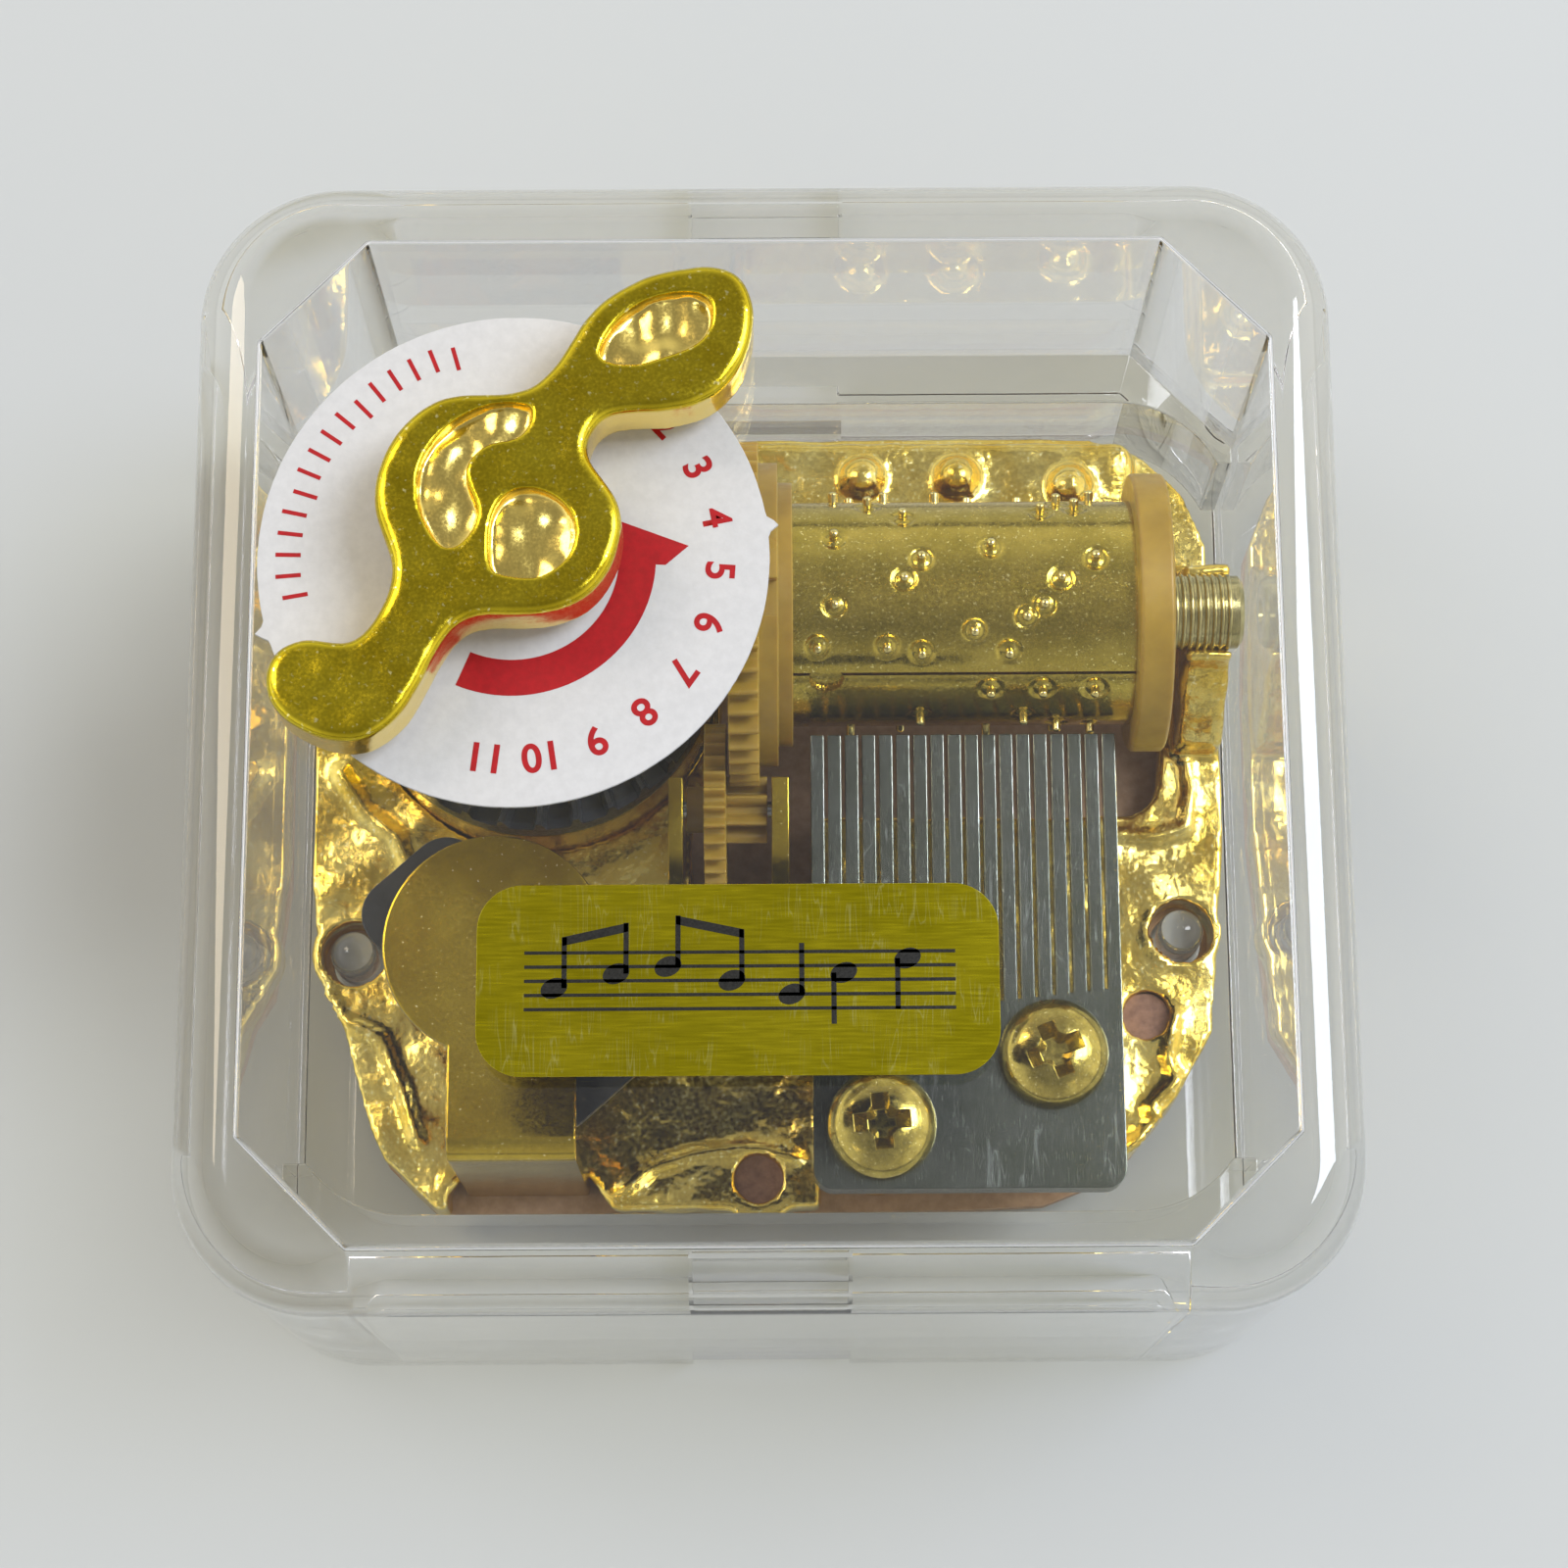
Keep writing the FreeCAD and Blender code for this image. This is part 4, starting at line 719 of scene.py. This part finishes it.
def buildCard():
    c = card
    rim = []
    for i in range(c["rimSteps"]):  # a die-cut rim, a little rough, with the nibs that held it in its sheet
        turned = 360 * i / c["rimSteps"]
        nib = sum(c["nib"] * math.exp(-((turned - at + 180) % 360 - 180) ** 2 / 1.6) for at in c["nibs"])
        rim.append((c["radius"] - c["tear"] * abs(noise.noise((i * 0.9, 3.0, 0.0))) + nib, turned))
    loops = []
    for inset, z in ((0.03, c["low"]), (0.0, c["low"] + 0.04), (0.0, c["top"] - 0.04), (0.03, c["top"])):
        loops.append([(*around(r - inset, a), z) for r, a in rim])
    outer = toObject("cardOuter", loft(loops))
    hole = toObject("cardHole", lathe([(0, 30), (c["hole"], 30), (c["hole"], 31), (0, 31)], 72))
    hole.data.transform(Matrix.Translation((*c["middle"], 0)))
    settle("cardDisc", cut(outer, [hole]), finishes["whiteCard"], "case", ["winding_disc"], 30)
    along = [i / c["bandSteps"] for i in range(c["bandSteps"] + 1)]
    outerSweep, innerSweep = c["bandEnd"] - c["bandStart"] - 11, c["bandStart"] - c["bandEnd"] - 4
    outline = [around(c["bandOuter"], c["bandStart"] + outerSweep * part) for part in along]
    outline += [around(*c["headOuter"]), around(*c["headTip"]), around(*c["headInner"])]
    outline += [around(c["bandInner"], c["bandEnd"] + 4 + innerSweep * part) for part in along]
    arrow = slab(outline, c["top"] - 0.01, c["top"] + c["ink"])
    bmesh.ops.triangulate(arrow, faces=arrow.faces)
    shells = [arrow]
    inkHalf = (c["ink"] + 0.01) / 2  # numbers and ticks sink as deep into the card as the arrow
    inkMiddle = c["top"] + c["ink"] - inkHalf
    for index in range(c["numbers"]):
        text = bpy.data.curves.new("number", "FONT")
        text.body = str(index + 1)
        text.size = c["numberSize"]
        text.align_x = "CENTER"
        text.align_y = "CENTER"
        text.extrude = inkHalf
        text.offset = c["numberBold"]
        holder = bpy.data.objects.new("number", text)
        bpy.context.scene.collection.objects.link(holder)
        mesh = evaluated(holder)
        discard(holder)
        degrees = c["numberStart"] + c["numberStep"] * index
        mesh.transform(Matrix.Rotation(math.radians(degrees - 90), 4, "Z"))
        mesh.transform(Matrix.Translation((*around(c["numberRadius"], degrees), inkMiddle)))
        shells.append(mesh)
    sizes = {"Tick width": c["tickWidth"], "Tick length": c["tickLength"]}
    tree, source, keys = startGrowth("cardTicks", sizes)
    flat = addNode(tree, "ShaderNodeCombineXYZ", {2: 2 * inkHalf},
                   {0: source.outputs["Tick length"], 1: source.outputs["Tick width"]})
    tick = addNode(tree, "GeometryNodeMeshCube", None, {"Size": flat.outputs[0]})
    turn = addNode(tree, "GeometryNodeInputNamedAttribute", {"data_type": "FLOAT_VECTOR", "Name": "lean"})
    spread = addNode(tree, "GeometryNodeInstanceOnPoints", None,
                     {"Points": source.outputs[0], "Instance": tick.outputs[0], "Rotation": turn.outputs[0]})
    endGrowth(tree, spread.outputs[0], finishes["crimsonInk"])
    angles = [c["tickStart"] + c["tickStep"] * i for i in range(c["tickCount"])]
    places = [(*around(c["tickRadius"] - (0.25 if i % 5 == 0 else 0.0), a), inkMiddle)  # each fifth stands in
              for i, a in enumerate(angles)]
    seed = pointMesh("tickPlaces", places, [(0, 0, math.radians(a)) for a in angles])
    shells.append(grow("cardTicks", seed, tree, keys, sizes))
    settle("cardPrint", toMesh("print", joined(shells)), finishes["crimsonInk"], "case", [], 30)
    print("card printed")


buildCard()

labelLow, labelHigh, labelMiddle = reach("title_label")
label = {"middle": labelMiddle[:2], "halfWidth": labelHigh[0] - labelMiddle[0],
         "halfDepth": labelHigh[1] - labelMiddle[1], "radius": 2.3, "low": labelLow[2], "top": labelHigh[2],
         "ink": 0.015, "motifMiddle": (-1.4, -13.65), "staffWidth": 21.6, "staffGap": 0.72, "staffLine": 0.17,
         # each note: place along the staff, steps above its middle line, 1 for a stem that goes up
         "notes": ((-9.3, -1, 1), (-6.2, 1, 1), (-3.6, 2, 1), (-0.4, 0, 1), (2.6, -2, 1), (5.2, 1, 0),
                   (8.4, 3, 0)),
         "beams": ((0, 1), (2, 3)), "beamWidth": 0.45, "headLong": 0.7, "headShort": 0.5,
         "headTurn": (0.92, 0.39), "headSteps": 24, "stemHeight": 2.6, "stemWidth": 0.26}


def buildLabel():
    k = label
    loops = []
    for inset, z in ((0.03, k["low"]), (0.0, k["low"] + 0.03), (0.0, k["top"] - 0.03), (0.03, k["top"])):
        loops.append(roundedLoop(k["halfWidth"] - inset, k["halfDepth"] - inset, k["radius"] - inset, 14, z,
                                 k["middle"]))
    settle("foilLabel", toMesh("label", loft(loops)), finishes["labelFoil"], "case", ["title_label"],
           30)
    staffX, staffY = k["motifMiddle"]
    low, high = k["top"] - 0.01, k["top"] + k["ink"]
    shells = [bar(staffX, staffY + line * k["staffGap"], k["staffWidth"], k["staffLine"], low, high)
              for line in range(-2, 3)]
    tips = []
    for x, step, up in k["notes"]:
        headX, headY = staffX + x, staffY + step * k["staffGap"] / 2
        across, rise = k["headTurn"]
        head = []
        for i in range(k["headSteps"]):
            angle = 2 * math.pi * i / k["headSteps"]
            a, b = k["headLong"] * math.cos(angle), k["headShort"] * math.sin(angle)
            head.append((headX + a * across - b * rise, headY + a * rise + b * across))
        shells.append(slab(head, low, high))
        way = 1 if up else -1
        stemX = headX + (k["headLong"] * 0.9 - k["stemWidth"] / 2) * way
        reachY = k["stemHeight"] * way
        shells.append(bar(stemX, headY + reachY / 2, k["stemWidth"], k["stemHeight"], low, high))
        tips.append((stemX, headY + reachY))
    for first, second in k["beams"]:
        (x0, y0), (x1, y1) = tips[first], tips[second]
        shells.append(slab([(x0 - 0.1, y0 - k["beamWidth"]), (x1 + 0.1, y1 - k["beamWidth"]), (x1 + 0.1, y1),
                            (x0 - 0.1, y0)], low, high))
    settle("labelMotif", toMesh("motif", joined(shells)), finishes["blackInk"], "case", [], 30)
    print("label printed")


buildLabel()


platePattern = {  # raised lines cast on the plate: points in mm, then half width and height
    "rightRing": ([(24.6, -6.5), (24.1, -5.4), (23.0, -5.0), (21.9, -5.6), (21.6, -6.8), (22.2, -7.8),
                   (23.4, -8.1), (24.4, -7.5), (24.6, -6.5)], 0.4, 0.3),
    "leftRing": ([(-22.4, -7.5), (-22.8, -6.5), (-23.8, -6.1), (-24.8, -6.5), (-25.2, -7.5), (-24.8, -8.5),
                  (-23.8, -8.9), (-22.8, -8.5), (-22.4, -7.5)], 0.4, 0.3),
    "rightLeaf": ([(22.9, -11.2), (22.4, -13.7), (22.9, -14.9), (21.3, -16.5), (22.2, -17.3), (20.2, -18.6)],
                  0.35, 0.35),
    "rightPad": ([(19.9, -0.7), (22.0, -0.9), (23.9, -0.4), (24.2, 2.2), (23.7, 5.0)], 0.35, 0.3),
    "leftStep": ([(-24.6, 3.2), (-23.2, 0.9), (-21.3, -0.6), (-20.6, -2.4)], 0.45, 0.35),
    "leftLeaf": ([(-25.2, -9.6), (-24.0, -11.3), (-21.9, -12.3), (-20.7, -15.1), (-19.8, -18.0)], 0.4, 0.35),
    "frontArc": ([(-8.2, -20.9), (-6.6, -19.7), (-4.2, -18.9), (-1.4, -18.6), (1.6, -19.2)], 0.35, 0.3),
}
castings = {
    "base_plate": {"finish": "goldCasting", "voxel": 0.26, "smooth": 2, "lump": 2.2, "lumpHeight": 0.16,
                   "pattern": platePattern},
    "winding_key": {"finish": "keyGold", "voxel": 0.11, "smooth": 4, "lump": 1.2, "lumpHeight": 0.03,
                    "pit": 34.85, "pitDepth": 0.8, "pitLump": 1.3, "pitHeight": 0.24},
}


def castCopy(node, spec):
    raw = toObject(node + "Raw", cleanCopy(node))
    mesh = evaluated(raw, [("REMESH", {"mode": "VOXEL", "voxel_size": spec["voxel"], "adaptivity": 0.0}),
                           ("SMOOTH", {"factor": 0.5, "iterations": spec["smooth"]})])
    discard(raw)
    flat = np.array([n.vector for n in mesh.vertex_normals])
    spots = np.array([v.co for v in mesh.vertices])
    lift = np.array([noise.noise(v.co / spec["lump"]) for v in mesh.vertices]) * spec["lumpHeight"]
    if "pit" in spec:  # rough floors of the recesses
        height = spots[:, 2]
        floors = (height < spec["pit"]) & (height > spec["pit"] - spec["pitDepth"]) & (flat[:, 2] > 0.6)
        for index in np.flatnonzero(floors):
            lift[index] += noise.noise(Vector(spots[index]) / spec["pitLump"]) * spec["pitHeight"]
    if "pattern" in spec:
        upper = flat[:, 2] > 0.8
        for points, half, height in spec["pattern"].values():
            away = np.full(len(spots), 99.0)
            for start, end in zip(np.array(points), np.array(points)[1:]):
                span = end - start
                along = np.clip(((spots[:, :2] - start) @ span) / (span @ span), 0, 1)
                away = np.minimum(away, np.hypot(*(spots[:, :2] - start - along[:, None] * span).T))
            lift += np.where(upper, height * np.exp(-(away / half) ** 2), 0)
    for vert, move in zip(mesh.vertices, flat * lift[:, None]):
        vert.co += Vector(move)
    settle(pieceName(node), mesh, finishes[spec["finish"]], bodyOf[node], [node], 0)
    print("cast", node, len(mesh.polygons))


for node, spec in castings.items():
    castCopy(node, spec)

plainFinish = {"movement_pad": "padBoard", "foot_screws": "waxedSteel", "mainspring": "springSteel",
               "clutch_spring": "springSteel", "cylinder_shaft": "drawnSteel", "second_shaft": "drawnSteel",
               "third_shaft": "drawnSteel", "governor_worm": "drawnSteel", "winding_arbor": "drawnSteel"}
for node, finishName in plainFinish.items():
    nodes[node].data.materials.clear()
    nodes[node].data.materials.append(finishes[finishName])
print("plain nodes finished")

stage = {"floor": "#C4C7C5", "mottle": "#BFC3C4", "mottleSize": 60.0, "half": 3000.0}
floorMesh = bpy.data.meshes.new("studioFloor")
half = stage["half"] * mm
floorMesh.from_pydata([(-half, -half, 0), (half, -half, 0), (half, half, 0), (-half, half, 0)], [],
                      [(0, 1, 2, 3)])
studioFloor = bpy.data.objects.new("studioFloor", floorMesh)
bpy.context.scene.collection.objects.link(studioFloor)
floorMaterial, tree, shader, out, mmPlace = startMaterial("paleBoard", {"Roughness": 0.6, "IOR": 1.3})
mottle = addNode(tree, "ShaderNodeTexNoise", {"Scale": 1 / stage["mottleSize"], "Detail": 3},
                 {"Vector": mmPlace})
tone = addNode(tree, "ShaderNodeMix",
               {"data_type": "RGBA", 6: colour(stage["floor"]), 7: colour(stage["mottle"])},
               {0: mottle.outputs[0]})
tree.links.new(tone.outputs[2], shader.inputs["Base Color"])
floorMesh.materials.append(floorMaterial)

lamps = {  # name: place, width, height, watts, colour; each aims at the middle of the base
    "windowLamp": ((0.55, 0.18, 0.8), 0.35, 0.5, 6.8, "#EEF3FF"),
    "warmLamp": ((-0.5, 0.3, 0.75), 0.3, 0.4, 2.4, "#FFEDD0"),
}
for name, (place, width, height, watts, tint) in lamps.items():
    data = bpy.data.lights.new(name, "AREA")
    data.shape = "RECTANGLE"
    data.size = width
    data.size_y = height
    data.energy = watts
    data.color = colour(tint)[:3]
    lamp = bpy.data.objects.new(name, data)
    bpy.context.scene.collection.objects.link(lamp)
    lamp.location = place
    lamp.rotation_euler = (-Vector(place)).to_track_quat("-Z", "Y").to_euler()

# The room: dark at the horizon, bright at window height, dim overhead, a little darker in front
room = {"levels": ((0.06, 0.25), (0.12, 1.15), (0.4, 1.0), (0.6, 0.78), (0.85, 0.38)),
        "front": {1: -0.9, 2: -0.1, 3: 0.6, 4: 1.05}, "sides": {1: 0.1, 2: 0.9, 3: 0.74, 4: 1.25}}
world = bpy.data.worlds.new("softRoom")
bpy.context.scene.world = world
world.use_nodes = True
tree = world.node_tree
tree.nodes.clear()
where = addNode(tree, "ShaderNodeTexCoord")
split = addNode(tree, "ShaderNodeSeparateXYZ", None, {0: where.outputs["Generated"]})
ramp = addNode(tree, "ShaderNodeValToRGB", None, {0: split.outputs[2]})
ramp.color_ramp.elements[0].position = 0.0
ramp.color_ramp.elements[0].color = (0.2, 0.2, 0.2, 1)
ramp.color_ramp.elements[1].position = 1.0
ramp.color_ramp.elements[1].color = (0.34, 0.34, 0.35, 1)
for position, value in room["levels"]:
    element = ramp.color_ramp.elements.new(position)
    element.color = (value, value, value, 1)
front = addNode(tree, "ShaderNodeMapRange", room["front"], {0: split.outputs[1]})
side = addNode(tree, "ShaderNodeMath", {"operation": "ABSOLUTE"}, {0: split.outputs[0]})
across = addNode(tree, "ShaderNodeMapRange", room["sides"], {0: side.outputs[0]})
strength = addNode(tree, "ShaderNodeMath", {"operation": "MULTIPLY"},
                   {0: front.outputs[0], 1: across.outputs[0]})
shadeWorld = addNode(tree, "ShaderNodeBackground", None,
                     {"Color": ramp.outputs[0], "Strength": strength.outputs[0]})
addNode(tree, "ShaderNodeOutputWorld", None, {"Surface": shadeWorld.outputs[0]})

view = {"place": (0.0006, -0.0484, 0.20984), "down": 75.949, "turn": -0.34, "lens": 83.65}
cameraData = bpy.data.cameras.new("tableCamera")
cameraData.lens = view["lens"]
cameraData.sensor_width = 36
cameraData.clip_start = 0.01
camera = bpy.data.objects.new("tableCamera", cameraData)
bpy.context.scene.collection.objects.link(camera)
camera.location = view["place"]
camera.rotation_euler = Euler((math.radians(90 - view["down"]), 0, math.radians(view["turn"])))
bpy.context.scene.camera = camera
bpy.context.scene.view_settings.view_transform = "Standard"
settings = bpy.context.scene.cycles  # light has many clear layers to cross
settings.max_bounces = 24
settings.transmission_bounces = 24
settings.glossy_bounces = 8
settings.transparent_max_bounces = 32
print("stage ready")
